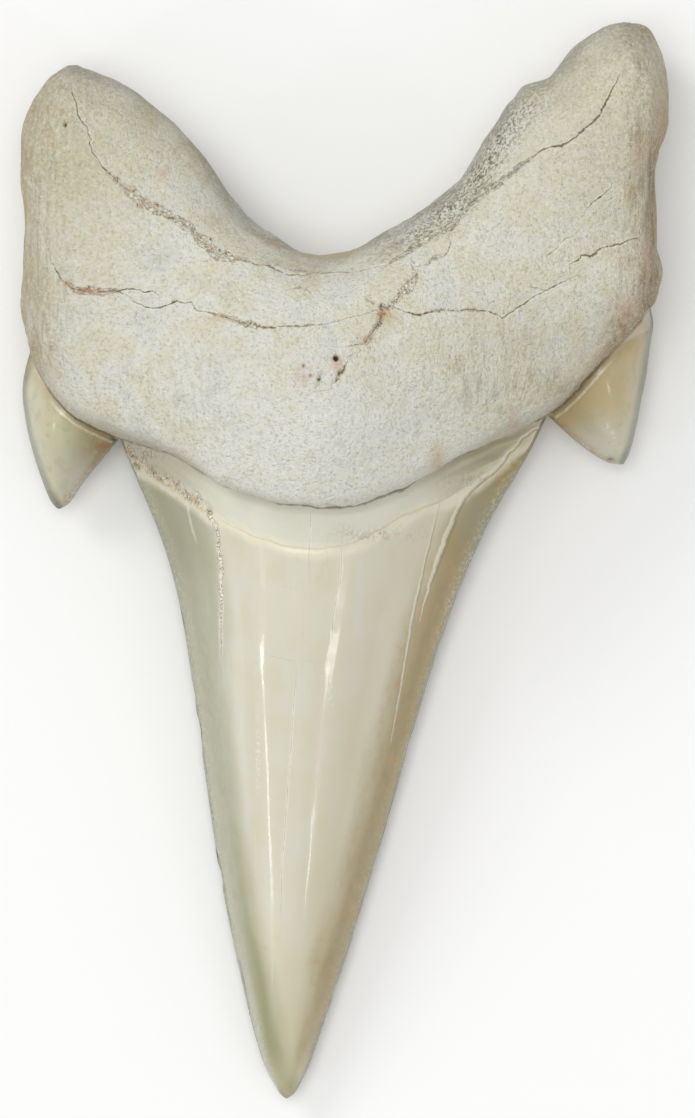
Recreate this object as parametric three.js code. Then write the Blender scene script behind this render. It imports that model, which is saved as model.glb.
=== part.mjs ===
// A fossil shark tooth, one solid, in millimetres. It lies on its flat labial face, with +Z up out of
// the domed lingual face, the root's two lobes towards +Y and the crown's point towards -Y.
// The origin is the middle of the tooth's bounding box, on the surface that the tooth lies on.
//
// The tooth is a quilt of four patches that share their edges: the root, a bar bent round the arch
// between its lobes, and three blades that hang from the root's lower margin: a cusplet, the main
// crown and the other cusplet. Each patch has an upper (lingual) and a lower (labial) sheet, and the
// two sheets meet along the tooth's outline. Lines of the grid follow the two long cracks in the root
// and the edge of the enamel below it, so that each is cut sharply with few faces.
import * as THREE from "three";
import { mergeVertices } from "three/addons/utils/BufferGeometryUtils.js";

// Mesh density: columns between two stations of the root, and rows in each span of a sheet.
const COLUMNS_PER_STATION = 4;
const ROOT_LINGUAL_ROWS = [4, 1, 1, 4, 1, 1, 8];
const ROOT_LABIAL_ROWS = [10];
const CROWN_ROWS = [3, 1, 24];
const CUSPLET_ROWS = [8];

// The root's stations, from the left lobe's tip round the arch to the right lobe's tip. Each pairs a
// point on the arch side of the bar with the point across from it: x, y of the arch side, then x, y of
// the outer side or of the margin that the blades hang from.
const ROOT_STATIONS = [
  [-18.9, 34.9, -18.9, 34.9],
  [-17.7, 34.55, -20.6, 34.2],
  [-14.4, 33.0, -22.3, 31.6],
  [-11.1, 30.1, -22.75, 27.2],
  [-8.8, 27.1, -22.5, 21.0],
  [-7.3, 24.8, -22.1, 14.9],
  [-6.4, 23.9, -19.6, 10.7],
  [-5.3, 23.1, -15.8, 8.6],
  [-4.1, 22.4, -11.9, 7.3],
  [-2.8, 21.8, -8.2, 5.3],
  [-1.2, 21.5, -2.6, 3.7],
  [0.6, 21.9, 2.9, 4.5],
  [2.6, 22.9, 8.2, 7.4],
  [4.6, 24.1, 14.4, 10.2],
  [6.2, 25.2, 18.0, 13.7],
  [8.05, 26.9, 21.65, 18.0],
  [9.8, 29.7, 21.95, 22.5],
  [12.5, 33.15, 21.95, 27.4],
  [14.3, 33.9, 22.88, 31.2],
  [16.2, 36.1, 22.55, 35.0],
  [18.2, 37.6, 21.4, 37.3],
  [19.8, 38.05, 19.8, 38.05],
];

// Where the blades hang from: station numbers along the margin.
const LEFT_SHOULDER = 5;
const LEFT_NOTCH = 7;
const RIGHT_NOTCH = 13;
const RIGHT_SHOULDER = 15;

// The root's heights and edge radii along its stations, as [station, value] pairs.
const ARCH_EDGE_HEIGHT = [[0, 6.2], [5, 7.4], [10, 8.6], [15, 7.4], [21, 6.4]];
const OUTER_EDGE_HEIGHT = [[0, 6.2], [3, 5.8], [5, 3.3], [15, 3.3], [18, 5.8], [21, 6.4]];
const ARCH_SIDE_TOP = [[0, 10.0], [3, 11.5], [6, 13.6], [10, 14.6], [14, 13.6], [18, 11.8], [21, 10.0]];
const OUTER_SIDE_TOP = [
  [0, 10.0], [3, 12.0], [6, 10.8], [8, 13.4], [10, 15.7], [12, 13.4], [14, 10.8], [18, 12.0],
  [21, 10.0],
];
const SWELL = [[0, 0.5], [3, 1.2], [6, 3.0], [10, 3.9], [14, 3.0], [18, 1.4], [21, 0.5]];
const LABIAL_LEVEL = [
  [0, 1.4], [2, -0.1], [4, -0.25], [6, 0.6], [10, 1.0], [14, 0.6], [17, -0.25], [19, -0.1], [21, 1.4],
];
const ARCH_RADIUS = [[0, 4.4], [5, 5.0], [10, 4.0], [15, 5.4], [21, 4.4]];
const OUTER_RADIUS = [
  [0, 4.4], [4, 3.4], [6, 1.4], [8, 1.0], [10, 0.7], [12, 0.9], [14, 1.4], [17, 3.4], [21, 4.4],
];
const LABIAL_RADIUS = 4.5;
const SQUARENESS = 2.3;

// The two long cracks in the root's lingual face: how far across the bar each runs, from the arch (0)
// to the outer side (1), and how deep it is, as [station, value] pairs joined by straight lines.
const CRACK_HALF_WIDTH = 0.28;
const NARROWEST_SHARE = 0.05; // the half width's limit where the lobes narrow, as a share of the bar
const ARCH_CRACK = {
  path: [
    [0, 0.5], [1.7, 0.54], [2.4, 0.56], [3.2, 0.53], [4, 0.35], [4.6, 0.27], [5, 0.2], [5.7, 0.185],
    [6.5, 0.15], [7.3, 0.14], [8.4, 0.12], [9.2, 0.1], [10, 0.08], [11, 0.09], [11.7, 0.13],
    [12.6, 0.115], [13.5, 0.14], [14.4, 0.12], [15.2, 0.14], [16, 0.24], [16.5, 0.38], [17, 0.48],
    [18.3, 0.54], [21, 0.5],
  ],
  depth: [
    [0, 0], [1.6, 0], [2.6, 0.35], [4.2, 0.5], [5.4, 0.8], [6.4, 0.5], [8.5, 0.3], [10.6, 0.35],
    [12.3, 0.65], [13.6, 0.5], [15.5, 0.4], [17.5, 0.35], [18.9, 0], [21, 0],
  ],
};
const OUTER_CRACK = {
  path: [
    [0, 0.75], [3, 0.72], [4.4, 0.7], [5, 0.6], [5.6, 0.5], [6.1, 0.45], [6.8, 0.4], [7.5, 0.37],
    [8, 0.38], [8.7, 0.36], [9.4, 0.29], [10.3, 0.27], [11.1, 0.28], [11.8, 0.34], [12.5, 0.43],
    [13.2, 0.49], [13.8, 0.6], [14.5, 0.64], [15.2, 0.72], [16, 0.79], [18, 0.77], [21, 0.75],
  ],
  depth: [
    [0, 0], [4.5, 0], [5.2, 0.5], [6.2, 0.3], [7.8, 0.4], [9.2, 0.25], [10.8, 0.4], [12.6, 0.35],
    [14.2, 0.3], [15.6, 0.3], [16.6, 0], [21, 0],
  ],
};

// Lumps (positive) and hollows (negative) in the root's lingual face: x, y, radius, height.
const ROOT_RELIEF = [
  [-18.2, 31.0, 3.2, 0.35],
  [-14.6, 26.2, 3.6, -0.35],
  [-19.0, 21.5, 3.4, 0.45],
  [-14.0, 16.6, 3.6, -0.4],
  [-17.6, 13.2, 2.8, 0.5],
  [-9.4, 10.2, 3.2, 0.4],
  [-1.6, 8.0, 4.0, 0.45],
  [2.8, 13.8, 3.2, -0.35],
  [7.4, 11.2, 3.0, 0.45],
  [12.6, 15.4, 3.2, -0.35],
  [17.4, 18.4, 3.0, 0.4],
  [13.2, 24.6, 3.2, -0.35],
  [18.6, 27.2, 3.0, 0.35],
  [14.2, 33.0, 1.3, 0.5],
  [-0.8, 13.4, 1.6, -0.3],
];

// Blades: stations from the margin to the point, as x, y of the left cutting edge, x, y of the right
// one, and the heights of the edges, of the lingual crest and of the labial face.
const CROWN_STATIONS = [
  [-15.8, 8.6, 14.4, 10.2, 3.3, 14.4, 0.8],
  [-14.9, 6.4, 12.98, 7.2, 3.1, 13.8, 0.5],
  [-13.5, 3.2, 11.0, 4.1, 2.9, 13.2, 0.2],
  [-12.33, 0.0, 9.28, 0.6, 2.7, 12.6, 0.0],
  [-11.33, -4.2, 7.38, -4.2, 2.4, 11.8, -0.1],
  [-10.43, -10.5, 5.36, -10.5, 2.1, 10.3, -0.15],
  [-9.53, -16.9, 3.56, -16.9, 1.9, 8.8, -0.1],
  [-8.58, -23.2, 1.68, -23.2, 1.8, 7.2, 0.1],
  [-7.23, -29.6, -0.32, -29.6, 1.8, 5.4, 0.5],
  [-6.2, -33.8, -1.77, -33.8, 1.9, 4.1, 0.9],
  [-5.5, -35.9, -2.48, -35.9, 2.0, 3.4, 1.2],
  [-4.85, -37.3, -3.12, -37.3, 2.1, 2.8, 1.6],
  [-4.0, -38.0, -4.0, -38.0, 2.2, 2.2, 2.2],
];
const LEFT_CUSPLET_STATIONS = [
  [-22.1, 14.9, -15.8, 8.6, 3.3, 7.6, 1.4],
  [-22.82, 12.0, -17.2, 6.9, 3.1, 7.0, 1.5],
  [-22.45, 9.4, -18.2, 5.7, 3.0, 6.0, 1.6],
  [-21.8, 7.0, -18.9, 4.8, 2.9, 4.8, 1.8],
  [-21.0, 4.9, -19.4, 4.2, 2.8, 3.7, 2.1],
  [-20.1, 3.6, -20.1, 3.6, 2.8, 2.8, 2.8],
];
const RIGHT_CUSPLET_STATIONS = [
  [14.4, 10.2, 21.6, 18.0, 3.3, 7.6, 1.4],
  [15.8, 8.9, 21.7, 15.3, 3.1, 7.0, 1.5],
  [17.0, 7.9, 21.3, 12.6, 3.0, 6.2, 1.6],
  [18.2, 7.1, 20.9, 10.2, 2.9, 5.2, 1.8],
  [19.0, 6.8, 20.4, 8.0, 2.8, 4.0, 2.1],
  [19.8, 6.8, 19.8, 6.8, 2.8, 2.8, 2.8],
];
// A blade's lingual section: how far out its two shoulders stand, from the middle (0) to the cutting
// edges (1), at the margin and at the point, and how high they are as a share of the crest.
const CROWN_SHOULDERS = { left: [0.62, 0.8], right: [0.8, 0.55], height: 0.72 };
const CUSPLET_SHOULDERS = { left: [0.6, 0.6], right: [0.6, 0.6], height: 0.72 };
const MARGIN_FADE = 2.2; // how soon a blade's rows lose the curve of the margin

// The bare band between the root's ledge and the crown's enamel: how far down the crown the enamel
// starts, as [share of the margin, share of the way to the point] pairs, and how far it stands up.
const ENAMEL_START = [
  [0, 0.03], [0.1, 0.083], [0.25, 0.114], [0.5, 0.133], [0.6, 0.122], [0.71, 0.08], [0.83, 0.095],
  [0.92, 0.057], [1, 0.012],
];
const ENAMEL_STEP = 0.3;
const ENAMEL_STEP_HALF_WIDTH = 0.15;

// A smooth curve through [position, value] pairs.
function profile(pairs) {
  const curve = new THREE.CubicInterpolant(
    pairs.map((pair) => pair[0]),
    pairs.map((pair) => pair[1]),
    1,
  );
  return (position) => curve.evaluate(position)[0];
}

// Straight lines through [position, value] pairs.
function brokenLine(pairs) {
  const line = new THREE.LinearInterpolant(
    pairs.map((pair) => pair[0]),
    pairs.map((pair) => pair[1]),
    1,
  );
  return (position) => line.evaluate(position)[0];
}

// One smooth curve for each column of a table of stations, all read at the same share of the way.
function loft(stations) {
  const fields = stations[0].map((_, field) => profile(stations.map((row, i) => [i, row[field]])));
  const last = stations.length - 1;
  return (share) => fields.map((field) => field(share * last));
}

// Positions from 0 to 1 that pass through every stop, with counts[i] equal steps between two stops.
// The first and the last span are eased towards the ends, where a sheet rounds over.
function spacing(stops, counts) {
  const positions = [0];
  counts.forEach((count, span) => {
    for (let step = 1; step <= count; step += 1) {
      const opens = span === 0;
      const closes = span === counts.length - 1;
      let share = step / count;
      if (opens && closes) share = (1 - Math.cos(Math.PI * share)) / 2;
      else if (opens) share = 1 - Math.cos((Math.PI * share) / 2);
      else if (closes) share = Math.sin((Math.PI * share) / 2);
      positions.push(THREE.MathUtils.lerp(stops[span], stops[span + 1], share));
    }
  });
  return positions;
}

// The height of a rounded-over edge, from 0 at the edge to 1 at the radius and beyond.
function roundOver(distance, radius) {
  const inward = Math.min(1, distance / radius);
  return Math.pow(1 - Math.pow(1 - inward, SQUARENESS), 1 / SQUARENESS);
}

// The lumps and hollows at a place on the root.
function reliefAt(x, y) {
  return ROOT_RELIEF.reduce((sum, [centreX, centreY, radius, height]) => {
    const distance = Math.hypot(x - centreX, y - centreY) / radius;
    return sum + height * Math.exp(-distance * distance);
  }, 0);
}

// A sheet is a list of columns, each a list of points. Each cell gives two triangles, and a sheet that
// is turned face down is wound the other way.
function addSheet(triangles, columns, faceUp) {
  for (let c = 0; c + 1 < columns.length; c += 1) {
    for (let r = 0; r + 1 < columns[c].length; r += 1) {
      const [a, b, d, e] = [columns[c][r], columns[c][r + 1], columns[c + 1][r + 1], columns[c + 1][r]];
      const cell = faceUp ? [a, b, d, a, d, e] : [a, d, b, a, e, d];
      triangles.push(...cell);
    }
  }
}

// The columns of a blade, from the margin to the point, for both of its sheets. Where enamel is given,
// the blade is bare from the margin to its start, and its lip is the half width of the step there.
function bladeSheets({ stations, shoulders, rowCounts, enamel }, margin) {
  const at = loft(stations);
  const top = at(0);
  const lingual = [];
  const labial = [];
  margin.forEach((marginPoint, column) => {
    const alongMargin = column / (margin.length - 1);
    const start = enamel ? enamel.start(alongMargin) : 0;
    const stops = enamel ? [0, start - enamel.lip, start + enamel.lip, 1] : [0, 1];
    const over = [];
    const under = [];
    for (const share of spacing(stops, rowCounts)) {
      const [leftX, leftY, rightX, rightY, edge, crest, floor] = at(share);
      const left = THREE.MathUtils.lerp(...shoulders.left, share);
      const right = THREE.MathUtils.lerp(...shoulders.right, share);
      const section = new THREE.SplineCurve([
        new THREE.Vector2(-1, 0),
        new THREE.Vector2(-left, shoulders.height),
        new THREE.Vector2(0, 1),
        new THREE.Vector2(right, shoulders.height),
        new THREE.Vector2(1, 0),
      ]);
      const across = section.getPoint(alongMargin);
      const side = (across.x + 1) / 2;
      const fade = Math.pow(1 - share, MARGIN_FADE);
      const bowX = marginPoint.x - THREE.MathUtils.lerp(top[0], top[2], side);
      const bowY = marginPoint.y - THREE.MathUtils.lerp(top[1], top[3], side);
      const x = THREE.MathUtils.lerp(leftX, rightX, side) + bowX * fade;
      const y = THREE.MathUtils.lerp(leftY, rightY, side) + bowY * fade;
      const bare = share < start ? ENAMEL_STEP * Math.min(1, across.y * 2) : 0;
      const upper = edge + (crest - edge) * across.y - bare;
      const lower = edge - (edge - floor) * (1 - across.x * across.x);
      over.push(new THREE.Vector3(x, y, upper));
      under.push(new THREE.Vector3(x, y, Math.max(0, lower)));
    }
    lingual.push(over);
    labial.push(under);
  });
  return { lingual, labial };
}

// The two sides of the root's bar, column by column, as points at the height of its edges.
function rootSides() {
  const at = loft(ROOT_STATIONS);
  const archHeight = profile(ARCH_EDGE_HEIGHT);
  const outerHeight = profile(OUTER_EDGE_HEIGHT);
  const columns = (ROOT_STATIONS.length - 1) * COLUMNS_PER_STATION;
  const arch = [];
  const outer = [];
  for (let c = 0; c <= columns; c += 1) {
    const station = c / COLUMNS_PER_STATION;
    const [archX, archY, outerX, outerY] = at(c / columns);
    arch.push(new THREE.Vector3(archX, archY, archHeight(station)));
    outer.push(new THREE.Vector3(outerX, outerY, outerHeight(station)));
  }
  return { arch, outer };
}

// The root's lingual sheet, between the arch side and the points that the blades hang from.
function rootLingualSheet(arch, over) {
  const [archTop, outerTop, swell, archRadius, outerRadius] = [
    ARCH_SIDE_TOP, OUTER_SIDE_TOP, SWELL, ARCH_RADIUS, OUTER_RADIUS,
  ].map(profile);
  const cracks = [ARCH_CRACK, OUTER_CRACK].map(({ path, depth }) => ({
    path: brokenLine(path),
    depth: brokenLine(depth),
  }));
  return arch.map((archPoint, column) => {
    const station = column / COLUMNS_PER_STATION;
    const width = Math.hypot(archPoint.x - over[column].x, archPoint.y - over[column].y);
    const lip = Math.min(NARROWEST_SHARE, CRACK_HALF_WIDTH / width);
    const [archCrack, outerCrack] = cracks.map((crack) => crack.path(station));
    const stops = [
      0, archCrack - lip, archCrack, archCrack + lip, outerCrack - lip, outerCrack, outerCrack + lip, 1,
    ];
    return spacing(stops, ROOT_LINGUAL_ROWS).map((across) => {
      const point = archPoint.clone().lerp(over[column], across);
      const top = THREE.MathUtils.lerp(archTop(station), outerTop(station), across) +
        swell(station) * 4 * across * (1 - across) + reliefAt(point.x, point.y);
      const rounding = roundOver(across * width, archRadius(station)) *
        roundOver((1 - across) * width, outerRadius(station));
      point.z += (top - point.z) * rounding;
      for (const crack of cracks) {
        if (across === crack.path(station)) point.z -= crack.depth(station);
      }
      return point;
    });
  });
}

// The root's labial sheet, flat where it lies on the ground.
function rootLabialSheet(arch, under) {
  const level = profile(LABIAL_LEVEL);
  return arch.map((archPoint, column) => {
    const station = column / COLUMNS_PER_STATION;
    const width = Math.hypot(archPoint.x - under[column].x, archPoint.y - under[column].y);
    return spacing([0, 1], ROOT_LABIAL_ROWS).map((across) => {
      const point = archPoint.clone().lerp(under[column], across);
      point.z += (level(station) - point.z) * roundOver(across * width, LABIAL_RADIUS) *
        roundOver((1 - across) * width, LABIAL_RADIUS);
      point.z = Math.max(0, point.z);
      return point;
    });
  });
}

// One closed surface from loose triangles: shared corners are merged and flat slivers dropped.
function closedSurface(triangles) {
  const loose = new THREE.BufferGeometry().setFromPoints(triangles);
  const welded = mergeVertices(loose, 1e-3);
  const corners = welded.index.array;
  const kept = [];
  for (let i = 0; i < corners.length; i += 3) {
    const [a, b, c] = corners.slice(i, i + 3);
    if (a !== b && b !== c && c !== a) kept.push(a, b, c);
  }
  welded.setIndex(kept);
  return welded;
}

function toothGeometry() {
  const { arch, outer } = rootSides();
  const over = outer.map((point) => point.clone());
  const under = outer.map((point) => point.clone());
  const triangles = [];

  const crownLength = CROWN_STATIONS[0][1] - CROWN_STATIONS[CROWN_STATIONS.length - 1][1];
  const enamel = { start: profile(ENAMEL_START), lip: ENAMEL_STEP_HALF_WIDTH / crownLength };
  const cusplet = { shoulders: CUSPLET_SHOULDERS, rowCounts: CUSPLET_ROWS };
  const crown = { shoulders: CROWN_SHOULDERS, rowCounts: CROWN_ROWS, enamel };
  const blades = [
    { stations: LEFT_CUSPLET_STATIONS, from: LEFT_SHOULDER, to: LEFT_NOTCH, ...cusplet },
    { stations: CROWN_STATIONS, from: LEFT_NOTCH, to: RIGHT_NOTCH, ...crown },
    { stations: RIGHT_CUSPLET_STATIONS, from: RIGHT_NOTCH, to: RIGHT_SHOULDER, ...cusplet },
  ];
  for (const blade of blades) {
    const first = blade.from * COLUMNS_PER_STATION;
    const last = blade.to * COLUMNS_PER_STATION;
    const { lingual, labial } = bladeSheets(blade, outer.slice(first, last + 1));
    lingual.forEach((column, i) => over[first + i].copy(column[0]));
    labial.forEach((column, i) => under[first + i].copy(column[0]));
    addSheet(triangles, lingual, true);
    addSheet(triangles, labial, false);
  }
  addSheet(triangles, rootLingualSheet(arch, over), true);
  addSheet(triangles, rootLabialSheet(arch, under), false);
  return closedSurface(triangles);
}

const fossil = new THREE.MeshStandardMaterial({ color: 0xd8d4c0, roughness: 0.55, metalness: 0 });
const tooth = new THREE.Mesh(toothGeometry(), fossil);
tooth.name = "shark_tooth";

tooth.geometry.computeBoundingBox();
const middle = tooth.geometry.boundingBox.getCenter(new THREE.Vector3());
tooth.position.set(-middle.x, -middle.y, -tooth.geometry.boundingBox.min.z);

const group = new THREE.Group();
group.add(tooth);

export default group;
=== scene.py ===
"""Looks of a fossil shark tooth: its fine mesh, its finish, the floor, the lights and the camera.

The tooth lies on its labial face, with its domed lingual face up (+Z), the crown's point towards -Y
and the root's two lobes towards +Y. Plan positions are in millimetres on a tooth of the design
length, from the middle of its box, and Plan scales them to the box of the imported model.
"""
import logging
import math
from dataclasses import dataclass, field
from enum import Enum
from typing import Sequence

import bmesh
import bpy
import numpy as np
from mathutils import Matrix, Vector


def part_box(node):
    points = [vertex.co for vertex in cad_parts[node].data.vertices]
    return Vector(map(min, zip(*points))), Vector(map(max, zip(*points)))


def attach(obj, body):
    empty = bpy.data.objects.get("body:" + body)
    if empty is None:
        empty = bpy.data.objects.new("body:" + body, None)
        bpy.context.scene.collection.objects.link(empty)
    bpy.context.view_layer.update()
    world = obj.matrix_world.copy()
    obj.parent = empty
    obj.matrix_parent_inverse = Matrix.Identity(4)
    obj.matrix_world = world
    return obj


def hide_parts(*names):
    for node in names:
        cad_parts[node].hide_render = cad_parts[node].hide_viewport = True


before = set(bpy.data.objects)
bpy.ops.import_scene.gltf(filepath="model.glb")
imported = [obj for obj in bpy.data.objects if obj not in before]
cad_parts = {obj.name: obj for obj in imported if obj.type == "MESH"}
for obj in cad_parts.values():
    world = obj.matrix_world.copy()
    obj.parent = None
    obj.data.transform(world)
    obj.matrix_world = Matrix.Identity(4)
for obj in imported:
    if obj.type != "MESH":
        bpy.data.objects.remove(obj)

LOG = logging.getLogger("shark_tooth")
NODE = "shark_tooth"
CURVE_STEPS = 4
Pair = tuple[float, float]
Triple = tuple[float, float, float]
Points = Sequence[Pair]


# ------------------------------------------------------------------------------------------------
# Plan, lines, cracks and noise
# ------------------------------------------------------------------------------------------------


@dataclass(frozen=True)
class Plan:
    """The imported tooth's box, the length of a design millimetre in it, and where they are counted from."""

    low: Vector
    high: Vector
    design_length: float = 76.05
    middle: Triple = (0.078, 0.025, 0.0)

    @property
    def millimetre(self) -> float:
        """One design millimetre, in metres."""
        return (self.high.y - self.low.y) / self.design_length

    def design(self, places: np.ndarray) -> np.ndarray:
        """Turns places in metres into design millimetres.

        Args:
            places: the places, one row each.

        Returns:
            The same places in design millimetres.
        """
        return places / self.millimetre + np.array(self.middle)

    def metres(self, points: np.ndarray) -> np.ndarray:
        """Turns design millimetres into metres.

        Args:
            points: the points, one row each.

        Returns:
            The same points in metres.
        """
        return (points - np.array(self.middle)) * self.millimetre

    @classmethod
    def of_node(cls, node: str) -> "Plan":
        """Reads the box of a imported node.

        Args:
            node: the node's name.

        Returns:
            The plan of that node.
        """
        low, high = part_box(node)
        return cls(low, high)


def smooth(value: np.ndarray, low: float, high: float) -> np.ndarray:
    """Rises smoothly from 0 at low to 1 at high.

    Args:
        value: the numbers to grade.
        low: where the rise starts.
        high: where the rise ends. It may be less than low, for a fall.

    Returns:
        The graded numbers.
    """
    share = np.clip((value - low) / (high - low), 0.0, 1.0)
    return share * share * (3.0 - 2.0 * share)


def curve(points: Points) -> list[Pair]:
    """Draws a smooth curve through points.

    Args:
        points: the points. The first and the last only steer the curve's ends.

    Returns:
        Points along the curve, from the second point to the last but one.
    """
    knots = np.asarray(points, float)
    path = [tuple(knots[1])]
    for before, start, end, after in zip(knots, knots[1:], knots[2:], knots[3:]):
        for step in range(1, CURVE_STEPS + 1):
            t = step / CURVE_STEPS
            bend = (end - before) * t + (2 * before - 5 * start + 4 * end - after) * t * t
            path.append(tuple(start + 0.5 * (bend + (3 * start - before - 3 * end + after) * t**3)))
    return path


class Noise:
    """Smooth random values over space, the same on each run."""

    SIZE = 256
    SHIFT = 17.3

    def __init__(self, seed: int) -> None:
        """Draws the lattice's values.

        Args:
            seed: the seed of the random draws.
        """
        draws = np.random.default_rng(seed)
        self.order = draws.permutation(self.SIZE)
        self.values = draws.uniform(-1.0, 1.0, self.SIZE)

    def at(self, points: np.ndarray, size: Triple | float) -> np.ndarray:
        """One octave of noise, from -1 to 1.

        Args:
            points: the places, one row each.
            size: the size of a lump, one number or one for each axis.

        Returns:
            One value for each point.
        """
        scaled = points / np.asarray(size, float)
        cell = np.floor(scaled).astype(int)
        inner = scaled - cell
        weight = inner * inner * (3.0 - 2.0 * inner)
        total = np.zeros(len(points))
        for corner in np.ndindex(*(2,) * points.shape[1]):
            slot = np.zeros(len(points), int)
            share = np.ones(len(points))
            for axis, step in enumerate(corner):
                slot = self.order[(slot + cell[:, axis] + step) % self.SIZE]
                share = share * (weight[:, axis] if step else 1.0 - weight[:, axis])
            total += share * self.values[slot]
        return total

    def layered(self, points: np.ndarray, size: Triple | float, octaves: int) -> np.ndarray:
        """Several octaves of noise, each half the size and half the height of the one before.

        Args:
            points: the places, one row each.
            size: the size of the largest lumps.
            octaves: how many octaves.

        Returns:
            One value for each point, from about -1 to 1.
        """
        total = np.zeros(len(points))
        for octave in range(octaves):
            part = 0.5**octave
            total += part * self.at(points + self.SHIFT * octave, np.asarray(size, float) * part)
        return total / (2.0 - 0.5 ** (octaves - 1))


LUMPS, GRAIN, FIBRES, GRIT, FRAY, CRUMBS, CRACK_WANDER, WAVES, GRAINS, NICKS, BARK, RIBS = (
    Noise(seed) for seed in range(1, 13)
)
LINE_WANDER = Noise(40)


@dataclass
class Line:
    """A broken line in plan, such as a crack or a margin."""

    points: Points
    jag: float = 0.0
    seed: int = 0
    path: np.ndarray = field(init=False)
    kinks: int = 3
    far: float = 1e3

    def __post_init__(self) -> None:
        """Adds smaller and smaller kinks between the points."""
        path = np.asarray(self.points, float)
        draws = np.random.default_rng(self.seed)
        kink = self.jag
        for _ in range(self.kinks if self.jag else 0):
            middle = (path[:-1] + path[1:]) / 2.0
            step = path[1:] - path[:-1]
            length = np.linalg.norm(step, axis=1, keepdims=True) + 1e-9
            aside = np.stack([-step[:, 1], step[:, 0]], 1) / length
            reach = np.minimum(kink, 0.25 * length)
            middle = middle + aside * draws.normal(0.0, 1.0, (len(step), 1)) * reach
            merged = np.empty((len(path) + len(middle), 2))
            merged[0::2] = path
            merged[1::2] = middle
            path = merged
            kink *= 0.5
        self.path = path

    def measure(self, plan: np.ndarray, reach: float) -> tuple[np.ndarray, np.ndarray, np.ndarray]:
        """Measures points against the line.

        Args:
            plan: x and y of each point.
            reach: points further from the line's box than this aren't measured.

        Returns:
            The distance, the share of the way along, and the side (+1 left of the line, -1 right).
        """
        distance = np.full(len(plan), self.far)
        along = np.zeros(len(plan))
        side = np.ones(len(plan))
        low, high = self.path.min(0) - reach, self.path.max(0) + reach
        near = np.nonzero(((plan > low) & (plan < high)).all(1))[0]
        here = plan[near]
        lengths = np.linalg.norm(np.diff(self.path, axis=0), axis=1)
        before = np.concatenate([[0.0], np.cumsum(lengths)])
        best = np.full(len(here), self.far)
        share = np.zeros(len(here))
        hand = np.ones(len(here))
        for index, length in enumerate(lengths):
            start, step = self.path[index], self.path[index + 1] - self.path[index]
            offset = here - start
            part = np.clip(offset @ step / max(length * length, 1e-9), 0.0, 1.0)
            gap = offset - part[:, None] * step
            size = np.hypot(gap[:, 0], gap[:, 1])
            closer = size < best
            best[closer] = size[closer]
            share[closer] = (before[index] + part[closer] * length) / before[-1]
            cross = step[0] * offset[:, 1] - step[1] * offset[:, 0]
            hand[closer] = np.where(cross[closer] >= 0.0, 1.0, -1.0)
        distance[near], along[near], side[near] = best, share, hand
        return distance, along, side


@dataclass(frozen=True)
class Crack:
    """A crack: its line, its width and depth along it, and where it is chipped and filled with rock."""

    line: Line
    width: Points
    depth: Points
    filled: Points = ((0.0, 0.0), (1.0, 0.0))

    def along(self, table: Points, share: np.ndarray) -> np.ndarray:
        """Reads a table of (share, value) pairs by straight lines.

        Args:
            table: the pairs.
            share: the shares of the way along the line.

        Returns:
            The value at each share.
        """
        return np.interp(share, *zip(*table))


@dataclass(frozen=True)
class CrackGroup:
    """Cracks that keep clear of each other, so that one set of masks holds them all."""

    name: str
    cracks: tuple[Crack, ...]
    strength: float = 1.0
    pale: float = 0.4
    halo: float = 0.24
    near: float = 1.2
    far: float = 50.0
    widest: float = 2.0

    def mark(self, skin: "Skin", facing: np.ndarray) -> tuple[np.ndarray, ...]:
        """Measures the skin against its nearest crack.

        Args:
            skin: the skin, which gets the masks of the distance and the half width.
            facing: where the cracks show, from 0 to 1.

        Returns:
            The distance with its side as a sign, the half width, and faded by facing, the depth and how
            filled the crack is.
        """
        gap = np.full(len(skin.points), self.far)
        half, deep, rock = (np.zeros(len(gap)) for _ in range(3))
        for crack in self.cracks:
            distance, share, side = crack.line.measure(skin.plan, reach=2.0)
            closer = distance < np.abs(gap)
            gap = np.where(closer, distance * side, gap)
            half = np.where(closer, crack.along(crack.width, share), half)
            deep = np.where(closer, crack.along(crack.depth, share), deep)
            rock = np.where(closer, crack.along(crack.filled, share), rock)
        shown = (np.abs(gap) < self.near) * facing
        gap = np.clip(gap, -self.widest, self.widest)
        skin.masks[f"{self.name}_gap"] = gap
        skin.masks[f"{self.name}_half"] = half * shown
        return gap, half * (shown > 0.0), deep * shown, rock * shown


@dataclass(frozen=True)
class Pit:
    """A pore in the root: its place, its radius and its depth."""

    x: float
    y: float
    radius: float
    depth: float


# ------------------------------------------------------------------------------------------------
# Where things are on the tooth, in design millimetres
# ------------------------------------------------------------------------------------------------

# The main lines: the root's margin, the arch, the enamel's edge and the crown's cutting edges.
MARGIN = Line([
    (-24.6, 16.0),
    *curve([
        (-22.5, 21.0), (-22.1, 14.9), (-19.6, 10.7), (-15.8, 8.6), (-11.9, 7.3), (-8.2, 5.3), (-2.6, 3.7),
        (2.9, 4.5), (8.2, 7.4), (14.4, 10.2), (18.0, 13.7), (21.65, 18.0), (21.95, 22.5),
    ]),
    (24.2, 19.4),
])
ARCH_EDGE = Line(curve([
    (-20.6, 34.2), (-18.9, 34.9), (-17.7, 34.55), (-14.4, 33.0), (-11.1, 30.1), (-8.8, 27.1), (-7.3, 24.8),
    (-6.4, 23.9), (-5.3, 23.1), (-4.1, 22.4), (-2.8, 21.8), (-1.2, 21.5), (0.6, 21.9), (2.6, 22.9),
    (4.6, 24.1), (6.2, 25.2), (8.05, 26.9), (9.8, 29.7), (12.5, 33.15), (14.3, 33.9), (16.2, 36.1),
    (18.2, 37.6), (19.8, 38.05), (21.4, 37.3),
]))
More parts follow.
